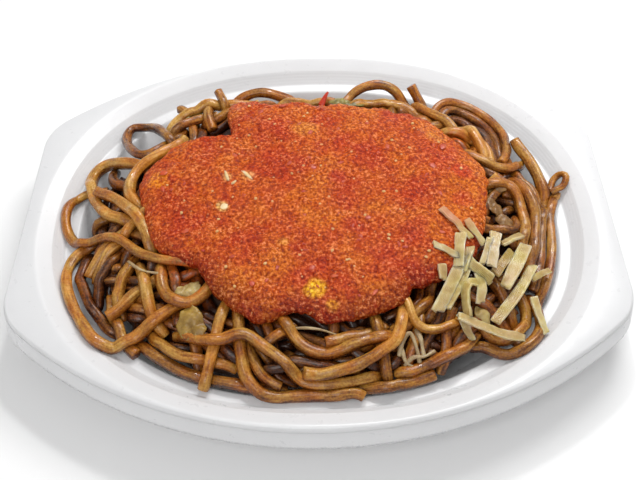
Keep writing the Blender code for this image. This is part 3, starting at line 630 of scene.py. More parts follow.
def noodle_material():
    """Fried noodle: golden or orange, streaked along the strand with brown sauce, with an oily sheen."""
    made = Nodes("noodle", 0.4, 0.30)
    lengthwise = made.attribute("streak", "Vector")
    patches = made.spread(made.noise(0.0100, 3.0, 0.5), 0.30, 0.70, -0.15, 0.13)
    streaks = made.spread(made.noise(0.0011, 3.0, 0.6, lengthwise), 0.30, 0.70, -0.24, 0.20)
    specks = made.spread(made.noise(0.0008, 2.0, 0.6), 0.36, 0.62, -0.12, 0.08)
    tone = made.math("ADD", made.attribute("tone"), patches)
    tone = made.math("ADD", made.math("ADD", tone, streaks), specks)
    golden = made.ramp(tone, ((0.00, (0.030, 0.008, 0.003)), (1.00, (0.74, 0.45, 0.140)),
                              (0.22, (0.135, 0.041, 0.007)), (0.46, (0.320, 0.127, 0.018)),
                              (0.72, (0.520, 0.266, 0.048))))
    orange = made.ramp(tone, ((0.00, (0.034, 0.007, 0.002)), (1.00, (0.72, 0.34, 0.070)),
                              (0.22, (0.150, 0.036, 0.005)), (0.46, (0.340, 0.100, 0.010)),
                              (0.72, (0.540, 0.205, 0.024))))
    redder = made.spread(made.noise(0.0120, 3.0, 0.6), 0.42, 0.58)
    colour = made.mix(redder, golden, orange)
    smear = made.math("MULTIPLY", made.attribute("smear"), made.spread(made.noise(0.0015), 0.3, 0.6))
    colour = made.mix(smear, colour, (0.60, 0.12, 0.01))
    made.set("Base Color", colour)
    made.set("Roughness", made.spread(made.noise(0.0022, 3.0), 0.3, 0.7, 0.12, 0.44))
    made.set("Coat Weight", 0.36)
    made.set("Coat Roughness", 0.10)
    made.set("Subsurface Weight", 0.10)
    made.set("Subsurface Radius", (0.0016, 0.0009, 0.0004))
    made.set("Subsurface Scale", 1.0)
    ridges = made.bump(made.noise(0.0012, 3.0, 0.6, lengthwise), 0.00030, 0.8)
    grain = made.bump(made.noise(0.0006, 3.0, 0.7), 0.00018, 0.9, below=ridges)
    made.bump(made.noise(0.0020, 2.0), 0.00022, 0.6, below=grain)
    return made.material


def core_material():
    """Dark brown deep between the strands: painted shade for the heap's depths."""
    made = Nodes("noodle_depths_shade", 0.3)
    lumps = made.noise(0.004, 5.0, 0.65)
    # Near-black brown: painted shade.
    made.set("Base Color", made.ramp(lumps, ((0.3, (0.016, 0.006, 0.003)), (0.75, (0.10, 0.035, 0.010)))))
    made.set("Roughness", made.spread(made.noise(0.002), 0.3, 0.7, 0.2, 0.5))
    made.bump(lumps, 0.001, 0.8)
    return made.material


def sauce_material():
    """Coarse wet pulp: orange-red grains, darker skins, pale seeds, and painted glints: pale flecks on the grains.
    """
    made = Nodes("pepper_sauce", 0.2, 0.24)
    tint = made.attribute("tint", "Color")
    grain = made.noise(0.0012, 2.5, 0.6)
    # Grain: darker and paler pulp, its palest end a painted glint.
    shade = made.ramp(grain, ((0.34, (0.40, 0.24, 0.16)), (0.68, (1.36, 2.10, 2.4)),
                              (0.44, (0.74, 0.58, 0.46)), (0.54, (1.04, 1.16, 1.1))))
    colour = made.mix(1.0, tint, shade, "MULTIPLY")
    # Painted glints: pale orange flecks mixed into the colour, where the grain is palest.
    glints = made.spread(made.noise(0.0085, 2.0), 0.40, 0.60, 0.15, 0.62)
    glints = made.math("MULTIPLY", made.spread(grain, 0.55, 0.66), glints)
    colour = made.mix(glints, colour, (0.90, 0.34, 0.14))
    skins = made.spread(made.noise(0.0036, 3.0, 0.6), 0.56, 0.70)
    colour = made.mix(made.math("MULTIPLY", skins, 0.45), colour, (0.46, 0.022, 0.003))
    seeds = made.spread(made.cells(0.0018), 0.22, 0.12)
    chosen = made.math("GREATER_THAN", made.cells(0.0018, "Color"), 0.58)
    colour = made.mix(made.math("MULTIPLY", made.math("MULTIPLY", seeds, chosen), 0.5),
                      colour, (0.90, 0.42, 0.14))
    made.set("Base Color", colour)
    made.set("Roughness", made.spread(made.noise(0.0010), 0.35, 0.65, 0.08, 0.30))
    made.set("Subsurface Weight", 0.08)
    made.set("Subsurface Radius", (0.0012, 0.0004, 0.0002))
    made.set("Subsurface Scale", 1.0)
    fine = made.bump(made.noise(0.0008, 3.0, 0.8), 0.00055, 1.0)
    made.bump(made.noise(0.0018, 3.0, 0.65), 0.0007, 0.9, below=fine)
    return made.material


def strip_material():
    """Pale pickled strips: wet, translucent, faintly striped along their fibres, with painted highlight along their
    edges and painted shade in their middles.
    """
    made = Nodes("pickled_strip", 0.3)
    tone = made.math("ADD", made.attribute("tone"), made.spread(made.noise(0.004, 3.0), 0.3, 0.7, -0.34, 0.24))
    # Painted highlight towards a strip's edges, painted shade in its middle.
    tone = made.math("ADD", tone, made.spread(made.attribute("edge"), 0.2, 1.0, -0.16, 0.26))
    green = made.ramp(tone, ((0.0, (0.38, 0.26, 0.055)), (1.0, (0.74, 0.64, 0.37)),
                             (0.5, (0.58, 0.46, 0.16))))
    pink = made.ramp(tone, ((0.0, (0.40, 0.24, 0.09)), (1.0, (0.74, 0.59, 0.41)),
                            (0.5, (0.58, 0.40, 0.21))))
    colour = made.mix(made.spread(made.noise(0.013, 2.0), 0.34, 0.64), green, pink)
    fibre = made.math("SINE", made.math("MULTIPLY", made.attribute("fibre"), 5.0))
    fibre = made.math("MULTIPLY", fibre, made.noise(0.0035, 2.0))
    colour = made.mix(made.spread(fibre, 0.0, 0.6, 0.0, 0.40), colour, (0.46, 0.34, 0.16))
    colour = made.mix(made.attribute("smear"), colour, (0.60, 0.16, 0.07))
    made.set("Base Color", colour)
    made.set("Roughness", made.spread(made.noise(0.002), 0.3, 0.7, 0.12, 0.30))
    made.set("Subsurface Weight", 0.75)
    made.set("Subsurface Radius", (0.0040, 0.0034, 0.0018))
    made.set("Subsurface Scale", 1.0)
    grooves = made.bump(fibre, 0.00014, 0.7)
    made.bump(made.noise(0.0014, 3.0), 0.00012, 0.6, below=grooves)
    return made.material


def leaf_material(name, dark, pale):
    """Fried leaf: translucent, oily, with darker and paler patches."""
    made = Nodes(name, 0.35)
    made.set("Base Color", made.ramp(made.noise(0.005, 4.0, 0.6), ((0.3, dark), (0.7, pale))))
    made.set("Roughness", made.spread(made.noise(0.002), 0.3, 0.7, 0.2, 0.45))
    made.set("Subsurface Weight", 0.3)
    made.set("Subsurface Radius", (0.0025, 0.0020, 0.0006))
    made.set("Subsurface Scale", 1.0)
    made.bump(made.noise(0.0012, 4.0), 0.0003, 0.8)
    return made.material


# ---------------------------------------------------------------- camera, light and floor

def make_camera():
    """The photo's view: from the diner's side, looking down, with a slight yaw and roll."""
    elevation = math.radians(CAMERA_ELEVATION)
    yaw, roll = math.radians(CAMERA_YAW), math.radians(CAMERA_ROLL)
    turn = Matrix.Rotation(-yaw, 3, "Z")
    ahead = turn @ Vector((0.0, math.cos(elevation), -math.sin(elevation)))
    right = turn @ Vector((1.0, 0.0, 0.0))
    up = turn @ Vector((0.0, math.sin(elevation), math.cos(elevation)))
    tilted_right = right * math.cos(roll) - up * math.sin(roll)
    tilted_up = right * math.sin(roll) + up * math.cos(roll)
    target = turn @ Vector((*CAMERA_TARGET[:2], 0.0)) + Vector((0.0, 0.0, CAMERA_TARGET[2]))
    place = target - ahead * CAMERA_DISTANCE
    data = bpy.data.cameras.new("camera")
    data.lens = CAMERA_LENS
    data.sensor_width = 36.0
    data.clip_start = 0.01
    camera = bpy.data.objects.new("camera", data)
    axes = Matrix((tilted_right, tilted_up, -ahead)).transposed()
    camera.matrix_world = Matrix.Translation(place) @ axes.to_4x4()
    bpy.context.scene.collection.objects.link(camera)
    bpy.context.scene.camera = camera


def area_light(name, place, size, power, colour=(1.0, 1.0, 1.0)):
    data = bpy.data.lights.new(name, "AREA")
    data.shape = "DISK"
    data.size = size
    data.energy = power
    data.color = colour
    light = bpy.data.objects.new(name, data)
    light.location = place
    light.rotation_euler = (-Vector(place)).to_track_quat("-Z", "Y").to_euler()
    bpy.context.scene.collection.objects.link(light)


def make_light():
    """A soft key from the high back right, a small one that makes sparkles, and a white room."""
    area_light("key", (0.17, 0.24, 0.44), 0.24, 1.42)
    area_light("sparkle", (0.03, 0.34, 0.58), 0.05, 0.85)
    area_light("fill", (-0.16, -0.42, 0.62), 0.40, 1.5)
    world = bpy.data.worlds.new("white_room")
    world.use_nodes = True
    world.node_tree.nodes["Background"].inputs["Color"].default_value = (1.0, 1.0, 1.0, 1.0)
    world.node_tree.nodes["Background"].inputs["Strength"].default_value = 0.45
    bpy.context.scene.world = world
    bpy.context.scene.view_settings.view_transform = "Standard"


def make_floor():
    mesh = bpy.data.meshes.new("floor")
    mesh_edit = bmesh.new()
    bmesh.ops.create_grid(mesh_edit, x_segments=1, y_segments=1, size=3.0)
    mesh_edit.to_mesh(mesh)
    mesh_edit.free()
    floor = bpy.data.objects.new("floor", mesh)
    mesh.materials.append(floor_material())
    bpy.context.scene.collection.objects.link(floor)


# ---------------------------------------------------------------- plate

def plate_sections():
    """Rings of the plate's upper side, from its floor out over the edge and down the skirt."""
    rings = [np.column_stack([well_ring(width), np.full(len(well_ring(width)), height)])
             for width, height in WELL_SECTION]
    rib_drop = SKIRT_DROP - RIB_HEIGHT
    rib_share = (rib_drop - SKIRT_STEP_DROP) / (SKIRT_DROP - SKIRT_STEP_DROP)
    rib_out = SKIRT_STEP_OUT + rib_share * (SKIRT_FLARE - SKIRT_STEP_OUT)
    for out, drop in ((0.0, 0.0), (SKIRT_STEP_OUT / 2, SKIRT_STEP_DROP), (SKIRT_STEP_OUT, SKIRT_STEP_DROP),
                      (rib_out, rib_drop), (SKIRT_FLARE, SKIRT_DROP)):
        edge = outer_edge(out)
        rings.append(np.column_stack([edge, np.full(len(edge), EDGE_HEIGHT - drop)]))
    return rings


def rounded_sections(rings):
    """The same rings with each bend between them turned into a small curve."""
    made = [rings[0]]
    for before, corner, after, most in zip(rings, rings[1:], rings[2:], BEND_REACHES):
        back = before - corner
        ahead = after - corner
        room_back = np.linalg.norm(back, axis=1)[:, None]
        room_ahead = np.linalg.norm(ahead, axis=1)[:, None]
        reach = np.minimum(most, 0.45 * np.minimum(room_back, room_ahead))
        start = corner + back / room_back * reach
        end = corner + ahead / room_ahead * reach
        for t in np.linspace(0.0, 1.0, BEND_STEPS):
            made.append((1 - t) ** 2 * start + 2 * t * (1 - t) * corner + t ** 2 * end)
    made.append(rings[-1])
    return made


def make_plate():
    """The formed sheet, finer than its CAD solid, with a closed floor and thickened downwards."""
    rings = rounded_sections(plate_sections())
    centre = np.array([[0.0, 0.0, PLATE_WALL]])
    count = len(rings[0])
    points = np.vstack([*rings, centre])
    quads = grid_faces(len(rings), count, closed=True)
    middle = len(points) - 1
    fan = [(middle, i, (i + 1) % count) for i in range(count)]
    mesh = new_mesh("plate_formed", points, [*quads.tolist(), *fan])
    face_outwards(mesh)
    if mesh.polygons[0].normal.z < 0:
        mesh.flip_normals()
    # Ribs along the skirt's foot, counted from the right end, where one gap hides their seam.
    edge = outer_edge(SKIRT_FLARE)
    steps = np.linalg.norm(np.diff(edge, axis=0, append=edge[:1]), axis=1)
    around = np.concatenate([[0.0], np.cumsum(steps)[:-1]]) * 2 * math.pi / RIB_PITCH
    ribbed = np.ones(count)
    ribbed[[0, -1]] = 0.0
    skirt_foot = (points[:-1, 2] < EDGE_HEIGHT - SKIRT_DROP + RIB_HEIGHT / 2) & (points[:-1, 2] > 0.012)
    outside = np.arange(len(points) - 1) >= (len(rings) - 6) * count
    add_value(mesh, "rib_place", np.append(np.tile(around, len(rings)), 0.0))
    add_value(mesh, "rib_depth", np.append(np.tile(ribbed, len(rings)) * skirt_foot * outside, 0.0))
    low, high = WELL_SECTION[4][1], WELL_SECTION[5][1]
    wall = smooth_step(points[:, 2], low, low + 0.0008) * smooth_step(points[:, 2], high, high - 0.0004)
    inside = well_width(points[:, 0], points[:, 1]) < WELL_SECTION[5][0] + 0.0005
    add_value(mesh, "wall", wall * inside)
    piece = add_piece("plate_formed", mesh, plate_material(), "plate", "plate")
    shell = piece.modifiers.new("wall", "SOLIDIFY")
    shell.thickness = PLATE_WALL
    shell.offset = -1.0
    shell.use_even_offset = True


# ---------------------------------------------------------------- strands at rest

def strand_routes():
    """Every strand's middle line in metres, its radius, and how firmly it keeps its place."""
    strands = []
    for name, route in STRANDS.items():
        points = np.array(route, dtype=float) * MM
        points[:, 2] += heap_top(points[:, 0], points[:, 1])
        radius = NOODLE_RADIUS * STOUTNESS.get(name, COMMON_STOUTNESS)
        strands.append([name, even_route(points, POINT_SPACING), radius, 0.22])
    points = np.array(THIN_LOOP, dtype=float) * MM
    points[:, 2] += heap_top(points[:, 0], points[:, 1])
    strands.append(["thin_loop", even_route(points, POINT_SPACING), THIN_LOOP_RADIUS, 0.3])
    return strands


def filler_routes(chance):
    """Strands between and under the ones that show: long, gently turning, inside the well."""
    strands = []
    for i in range(FILLER_COUNT + BACK_FILLER_COUNT):
        at_back = i >= FILLER_COUNT
        angle = chance.uniform(0.10 * math.pi, 0.90 * math.pi) if at_back else chance.uniform(0, 2 * math.pi)
        share = chance.uniform(0.82, 0.90) if at_back else chance.uniform(0.62, 0.93)
        place = np.array([math.cos(angle) * LEDGE_HALF_LENGTH, math.sin(angle) * LEDGE_HALF_WIDTH]) * share
        heading = angle + math.pi / 2 * chance.choice([-1, 1]) + chance.normal(0.0, 0.55)
        bend = chance.uniform(-16.0, 16.0)
        depth = chance.uniform(0.0060, 0.0130) if at_back else chance.uniform(0.0016, 0.0080)
        route = []
        for _ in range(round(chance.uniform(*FILLER_LENGTH) / POINT_SPACING)):
            share = float(oval_share(place[0], place[1]))
            inward = math.atan2(-place[1], -place[0])
            turning = (inward - heading + math.pi) % (2 * math.pi) - math.pi
            if share > 0.88:
                heading += (0.10 + 2.5 * (share - 0.88)) * turning
            elif share < 0.58:
                heading -= 0.12 * turning
            bend += chance.normal(0.0, 7.0) - 0.04 * bend
            heading += bend * POINT_SPACING
            place = place + POINT_SPACING * np.array([math.cos(heading), math.sin(heading)])
            if any(math.hypot(place[0] - x, place[1] - y) < reach for x, y, reach in CLEARINGS):
                break
            route.append((*place, float(heap_top(place[0], place[1])) - depth))
        if len(route) < FEWEST_POINTS:
            continue
        strands.append([f"filler_{i}", np.array(route), NOODLE_RADIUS * chance.uniform(0.84, 1.02), 0.015])
    return strands


def core_edge(x, y):
    """How far out a point is, as a share of the way to the core's upper edge."""
    ahead = y / np.maximum(np.hypot(x, y), 1e-6)
    pull = CORE_EDGE - CORE_BACK_PULL * smooth_step(ahead, -0.1, 0.5)
    return oval_share(x, y) / (pull * 0.93)


def near_pairs(points, strand_of, reach):
    """Pairs of points within reach of each other, on different strands or well apart on one."""
    cell = np.floor(points / reach).astype(np.int64)
    cell -= cell.min(axis=0) - 1
    span = cell.max(axis=0) + 2
    key = (cell[:, 0] * span[1] + cell[:, 1]) * span[2] + cell[:, 2]
    order = np.argsort(key, kind="stable")
    ordered = key[order]
    firsts, seconds = [], []
    for dx in (-1, 0, 1):
        for dy in (-1, 0, 1):
            for dz in (-1, 0, 1):
                wanted = key + (dx * span[1] + dy) * span[2] + dz
                start = np.searchsorted(ordered, wanted, "left")
                count = np.searchsorted(ordered, wanted, "right") - start
                first = np.repeat(np.arange(len(points)), count)
                offset = np.arange(count.sum()) - np.repeat(np.cumsum(count) - count, count)
                second = order[np.repeat(start, count) + offset]
                keep = first < second
                firsts.append(first[keep])
                seconds.append(second[keep])
    first, second = np.concatenate(firsts), np.concatenate(seconds)
    apart = (strand_of[first] != strand_of[second]) | (np.abs(first - second) > 5)
    close = ((points[first] - points[second]) ** 2).sum(axis=1) < reach ** 2
    keep = apart & close
    return first[keep], second[keep]


def relax(strands):
    """Let the strands push each other apart until they lie on and beside one another."""
    points = np.vstack([strand[1] for strand in strands])
    counts = [len(strand[1]) for strand in strands]
    strand_of = np.repeat(np.arange(len(strands)), counts)
    radius = np.repeat([strand[2] for strand in strands], counts)
    hold = np.repeat([strand[3] for strand in strands], counts)[:, None]
    heavy = np.where(hold[:, 0] > 0.1, 0.35, 1.0)
    free = hold[:, 0] <= 0.1
    target = points.copy()
    linked = np.flatnonzero(strand_of[:-1] == strand_of[1:])
    length = np.linalg.norm(points[linked + 1] - points[linked], axis=1)
    inner = np.flatnonzero((strand_of[:-2] == strand_of[2:])) + 1
    tables = resting_table(NOODLE_RADIUS)
    total = len(points)
    for step in range(RELAX_ROUNDS):
        growth = min(1.0, 0.35 + 0.75 * step / (0.6 * RELAX_ROUNDS))
        easing = 1.0 if step < 0.8 * RELAX_ROUNDS else 0.25
        if step % NEIGHBOUR_EVERY == 0:
            first, second = near_pairs(points, strand_of, 0.0058)
        points += hold * easing * (target - points)
        points[free, 2] -= 0.00002
        # Links keep their length, odd and even ones in turn.
        for parity in (0, 1):
            some = linked[parity::2]
            gap = points[some + 1] - points[some]
            size = np.linalg.norm(gap, axis=1)
            shift = gap * (0.5 * (1.0 - length[parity::2] / size))[:, None]
            points[some] += shift
            points[some + 1] -= shift
        points[inner] += 0.12 * ((points[inner - 1] + points[inner + 1]) / 2 - points[inner])
        # Contacts: a pair that overlaps moves apart, more readily up and down than sideways.
        gap = points[second] - points[first]
        size = np.sqrt((gap ** 2).sum(axis=1))
        overlap = (radius[first] + radius[second]) * growth - size
        touching = overlap > 0.0
        one, two = first[touching], second[touching]
        way = gap[touching] * (1.0, 1.0, 2.0)
        way /= np.maximum(np.sqrt((way ** 2).sum(axis=1)), 1e-7)[:, None]
        push = way * overlap[touching][:, None]
        share = heavy[one] / (heavy[one] + heavy[two])
        number = np.maximum(np.bincount(one, minlength=total) + np.bincount(two, minlength=total), 1)
        number = np.sqrt(number)
        for axis in range(3):
            moved = np.bincount(two, push[:, axis] * (1.0 - share), total)
            moved -= np.bincount(one, push[:, axis] * share, total)
            points[:, axis] += np.clip(moved / number, -0.0006, 0.0006)
        # Nothing sinks into the plate or the core, and hidden strands stay under the top.
        floor = np.interp(well_width(points[:, 0], points[:, 1]), *tables)
        top = heap_top(points[:, 0], points[:, 1])
        limit = hidden_top(points[:, 0], points[:, 1])
        core = top - CORE_DEPTH + radius
        core[core_edge(points[:, 0], points[:, 1]) > 1.0] = 0.0
        floor = np.maximum(floor, core)
        points[:, 2] = np.maximum(points[:, 2], floor)
        high = free & (points[:, 2] > limit)
        points[high, 2] -= 0.6 * (points[high, 2] - limit[high])
    ends = np.cumsum([0, *counts])
    return [points[start:end] for start, end in zip(ends, ends[1:])]


def strand_tone(name, chance):
    """Golden tan to reddish brown; the hidden filler strands get darker tones, painted shade deep between the
    others.
    """
    if name.startswith("filler"):
        return chance.uniform(0.16, 0.48)
    return TONES.get(name, chance.uniform(0.52, 0.80))


# Strands whose tone stands out, from 0, dark reddish brown, to 1, pale tan. The low strands at the front are set
# darker, partly for sauce and partly as painted shade of the light falling off towards the front.
TONES = {
    "ring_loop": 0.42,
    "left_bow": 0.78,
    "upper_left_loop": 0.72,
    "upper_left_inner": 0.30,
    "left_loop": 0.62,
    "square_end": 0.66,
    "left_inner": 0.28,
    "left_red": 0.25,
    "left_pale_short": 0.70,
    "left_hook": 0.66,
    "front_diagonal": 0.62,
    "front_bow": 0.50,
    "front_sweep": 0.66,
    "front_curl": 0.76,
    "front_right_edge": 0.46,
    "front_left_edge": 0.44,
    "front_turn": 0.56,
    "front_short": 0.50,
    "front_ragged": 0.50,
    "front_post_left": 0.44,
    "front_post_middle": 0.48,
    "front_post_right": 0.44,
    "front_post_far": 0.48,
    "front_under_left": 0.36,
    "front_under_middle": 0.34,
    "front_right_rise": 0.52,
    "right_front_turn": 0.50,
    "right_front_inner": 0.56,
    "right_outer": 0.50,
    "right_second": 0.44,
    "right_third": 0.54,
    "right_fourth": 0.54,
    "right_light": 0.56,
    "right_bow": 0.62,
    "right_under_strips": 0.46,
    "right_under_strips_b": 0.46,
    "right_peak": 0.60,
    "back_right_outer": 0.52,
    "back_right_second": 0.36,
    "back_right_inner": 0.22,
    "right_stem": 0.95,
    "front_torn": 0.42,
    "back_right_pale": 0.80,
    "back_arch": 0.50,
    "back_spike": 0.62,
    "back_left_arch": 0.55,
}
# Strands thicker or thinner than the rest, as a share of the usual radius.
STOUTNESS = {
    "left_bow": 1.12,
    "upper_left_loop": 1.07,
    "left_loop": 0.86,
    "ring_loop": 0.96,
    "lower_left_loop": 1.04,
    "square_end": 1.04,
    "left_hook": 1.04,
    "front_diagonal": 0.94,
    "front_sweep": 1.02,
    "front_turn": 0.98,
    "front_bow": 0.94,
    "front_curl": 0.70,
    "front_right_edge": 1.04,
    "front_ragged": 0.86,
    "right_outer": 0.92,
    "right_third": 1.08,
    "back_right_outer": 0.94,
    "back_right_second": 0.94,
    "back_arch": 1.02,
    "back_spike": 0.84,
    "back_stub": 0.86,
    "right_peak": 1.16,
}
COMMON_STOUTNESS = 0.96
# Painted shade between the strands: they get darker over this range of depths.
TONE_DEPTHS = (0.0002, 0.0062)
TONE_LOSS = 0.46
# Painted shade, more so beside the pool of sauce, whose edge shades the strands: this reach from its edge, from this
# depth down.
SHADE_REACH = 0.008
SHADE_DEPTHS = (-0.0006, 0.0030)
SHADE_LOSS = 0.26
# Painted shade on a strand's sides, which are darker than its top: from this height over its middle down to this.
SIDE_RISES = (0.74, -0.15)
SIDE_LOSS = 0.30
# Strands that carry a smear of sauce: middle (x, y) and its reach.
SMEARS = (((-0.051, -0.033), 0.007), ((-0.046, -0.044), 0.004), ((0.060, 0.034), 0.004))


STREAK_STRETCH = 7.0


def streak_places(along, rings, section, radius, chance):
    """Where each point sits in its own strand, shortened along it, so that noise runs in streaks."""
    ends = (rings - len(along)) // 2
    run = np.concatenate([np.full(ends, along[0]), along, np.full(rings - len(along) - ends, along[-1])])
    around = np.column_stack(section) * radius
    places = np.empty((rings, len(around), 3))
    places[:, :, 0] = run[:, None] / STREAK_STRETCH
    places[:, :, 1:] = around[None, :, :]
    return (places + chance.uniform(0.0, 1.0, 3)).reshape(-1, 3)


def make_noodles():
    """The real strands, over a smaller dark core."""
    chance = np.random.default_rng(11)
    strands = strand_routes() + filler_routes(chance)
    placed = relax(strands)
    section = rounded_square(SECTION_POWER)
    points, faces, tones, streaks = [], [], [], []
    offset = 0
    for (name, _, radius, _), middle in zip(strands, placed):
        spacing = FILLER_TUBE_SPACING if name.startswith("filler") else TUBE_SPACING
        route = even_route(middle, spacing)
        along = np.arange(len(route)) * spacing
        wave = np.sin(along * chance.uniform(180, 320) + chance.uniform(0, 6))
        wave += np.sin(along * chance.uniform(400, 700) + chance.uniform(0, 6))
        width = radius * (1.0 + 0.03 * wave + chance.uniform(-0.04, 0.06))
        turn = chance.uniform(0, 6) + along * chance.uniform(-16, 16)
        rings = tube_points(route, width, turn, section)
        quads = grid_faces(len(rings), TUBE_SIDES, closed=True)
        caps = [list(range(TUBE_SIDES)), list(range(len(rings) * TUBE_SIDES - TUBE_SIDES, len(rings) * TUBE_SIDES))]
        faces += (quads + offset).tolist() + [[offset + i for i in cap] for cap in caps]
        points.append(rings.reshape(-1, 3))
        flat = rings.reshape(-1, 3)
        depth = heap_slope(flat[:, 0], flat[:, 1]) - flat[:, 2]
        rise = (rings - rings.mean(axis=1, keepdims=True))[:, :, 2].ravel() / radius
        beside = smooth_step(beyond_sauce(flat[:, 0], flat[:, 1]), SHADE_REACH, 0.0)
        # Each point's tone, less painted shade: deeper in the heap, on a strand's sides, and beside the sauce.
        tones.append(strand_tone(name, chance) - TONE_LOSS * smooth_step(depth, *TONE_DEPTHS)
                     - SIDE_LOSS * smooth_step(rise, *SIDE_RISES)
                     - SHADE_LOSS * beside * smooth_step(depth, *SHADE_DEPTHS))
        streaks.append(streak_places(along, len(rings), section, radius, chance))
        offset += rings.shape[0] * TUBE_SIDES
    points = np.vstack(points)
    mesh = new_mesh("noodle_strands", points, faces)
    face_outwards(mesh)
    add_value(mesh, "tone", np.concatenate(tones))
    add_vector(mesh, "streak", np.vstack(streaks))
    smear = np.zeros(len(points))
    for (x, y), reach in SMEARS:
        near = np.exp(-((points[:, 0] - x) ** 2 + (points[:, 1] - y) ** 2) / reach ** 2)
        smear = np.maximum(smear, near)
    add_value(mesh, "smear", smear)
    add_piece("noodle_strands", mesh, noodle_material(), "noodles", "noodles")
    return points


def make_core():
    """A low mound under the strands, which closes the gaps between them."""
    angle = np.linspace(0, 2 * math.pi, 120, endpoint=False)
    ways = np.column_stack([np.cos(angle), np.sin(angle)])
    edge = 1.0 / oval_share(ways[:, 0], ways[:, 1])
    edge *= CORE_EDGE - CORE_BACK_PULL * smooth_step(ways[:, 1], -0.1, 0.5)
    rings = []
    for share, rise in ((0.80, None), (0.90, 0.010)):
        ring = ways * (edge * share)[:, None]
        height = PLATE_WALL + 0.0004 if rise is None else rise
        rings.append(np.column_stack([ring, np.full(len(ring), height)]))
    for share in np.linspace(0.93, 0.02, 40):
        ring = ways * (edge * share)[:, None]
        x, y = ring.T
        rise = smooth_step(np.full(len(x), share), 0.62, 0.40) * (CORE_DEPTH - 0.002)
        lumps = 0.0008 * smooth_noise(x, y, 0.006, 3)
        rings.append(np.column_stack([ring, heap_top(x, y) - CORE_DEPTH + rise + lumps]))
    points = np.vstack(rings)
    quads = grid_faces(len(rings), len(angle), closed=True).tolist()
    caps = [list(range(len(angle))), list(range(len(points) - len(angle), len(points)))]
    mesh = new_mesh("noodle_core", points, quads + caps)
    face_outwards(mesh)
    add_piece("noodle_core", mesh, core_material(), "noodles")


# ---------------------------------------------------------------- sauce

SAUCE_RINGS = 148
# Section of the pool: share of the way out, share of the thickness.
SAUCE_SECTION = ((0.02, 1.00), (0.45, 1.00), (0.68, 0.99), (0.85, 0.95), (0.95, 0.86), (0.998, 0.66),
                 (1.005, 0.40), (0.985, 0.12), (0.93, -0.10), (0.85, -0.16))
SAUCE_ORANGE = (0.64, 0.130, 0.006)
SAUCE_RED = (0.52, 0.042, 0.003)
# Patches of the sauce: middle (x, y) and reach in millimetres, strength, colour.
SAUCE_PATCHES = (
    ((-1, -48), 4.2, 1.0, (0.90, 0.42, 0.012)),
    ((5, -54), 2.4, 0.9, (0.86, 0.32, 0.012)),
    ((-64, 6), 4.6, 0.9, (0.86, 0.24, 0.008)),
    ((-37, -10), 2.6, 0.9, (0.78, 0.44, 0.12)),
    ((-36, 5), 2.4, 0.5, (0.76, 0.38, 0.12)),
    ((-28, 6), 3.0, 0.5, (0.76, 0.38, 0.12)),
    ((-5, 33), 5.5, 0.55, (0.74, 0.26, 0.03)),
    ((50, 28), 4.5, 0.6, (0.76, 0.24, 0.02)),
    ((-13, -28), 2.2, 0.6, (0.76, 0.28, 0.03)),
    ((8, 4), 4.0, 0.7, (0.50, 0.025, 0.012)),
    ((12, -20), 4.0, 0.5, (0.52, 0.035, 0.015)),
    ((59, 9), 5.0, 0.7, (0.60, 0.030, 0.010)),
    ((57, -6), 4.0, 0.5, (0.62, 0.050, 0.012)),
    ((38, -22), 5.0, 0.4, (0.52, 0.035, 0.015)),
    ((48, 16), 9.0, 0.40, (0.58, 0.055, 0.014)),
    ((-50, 20), 7.0, 0.35, (0.60, 0.060, 0.015)),
)
# How much the painted shade darkens the sauce's front edge, in each colour.
FRONT_DARKENING = (0.62, 0.50, 0.50)


def sauce_profile(rings):
    """The pool's section at an even spacing: share of the way out, share of the thickness."""
    scale = np.array([SAUCE_HALF_LENGTH, SAUCE_THICKNESS, 1.0])
    knots = np.column_stack([np.array(SAUCE_SECTION), np.zeros(len(SAUCE_SECTION))]) * scale
    fine = even_route(knots, 0.0002)
    wanted = np.linspace(0, len(fine) - 1, rings)
    return np.column_stack([np.interp(wanted, np.arange(len(fine)), fine[:, k]) for k in range(3)]) / scale


def square_disc(rings):
    """A square grid rolled into a disc: for each point its ring and its direction; and the quads."""
    side = 2 * rings + 1
    i, j = np.meshgrid(np.arange(-rings, rings + 1), np.arange(-rings, rings + 1), indexing="ij")
    ring = np.maximum(np.abs(i), np.abs(j))
    steep = np.abs(i) >= np.abs(j)
    share = np.where(steep, j / np.where(i == 0, 1, i), i / np.where(j == 0, 1, j))
    quarter = math.pi / 4
    angle = np.where(steep, share * quarter + np.where(i < 0, math.pi, 0.0),
                     2 * quarter - share * quarter + np.where(j < 0, math.pi, 0.0))
    return ring.ravel(), angle.ravel(), grid_faces(side, side, closed=False)


def sauce_surface():
    """Points of the pool's skin, before its lumps, the way each faces, and its share of thickness."""
    ring, angle, quads = square_disc(SAUCE_RINGS)
    ways = np.column_stack([np.cos(angle), np.sin(angle)])
    reach = sauce_reach(angle)
    reach = reach + 0.0008 * smooth_noise(np.cos(angle) * 0.05, np.sin(angle) * 0.05, 0.0045, 21)
    reach = reach + 0.0005 * smooth_noise(np.cos(angle) * 0.05, np.sin(angle) * 0.05, 0.0018, 22)
    profile = sauce_profile(SAUCE_RINGS + 1)
    profile[0, 0] = 0.0
    along = np.gradient(profile * (SAUCE_HALF_LENGTH, SAUCE_THICKNESS, 1.0), axis=0)
    along /= np.linalg.norm(along, axis=1)[:, None]
    flat = np.array(SAUCE_CENTRE) + ways * (reach * profile[ring, 0])[:, None]
    height = heap_top(flat[:, 0], flat[:, 1]) + SAUCE_THICKNESS * profile[ring, 1]
    points = np.column_stack([flat, height])
    facing = np.column_stack([ways * -along[ring, 1:2], along[ring, 0]])
    return points, facing, profile[ring, 1], quads


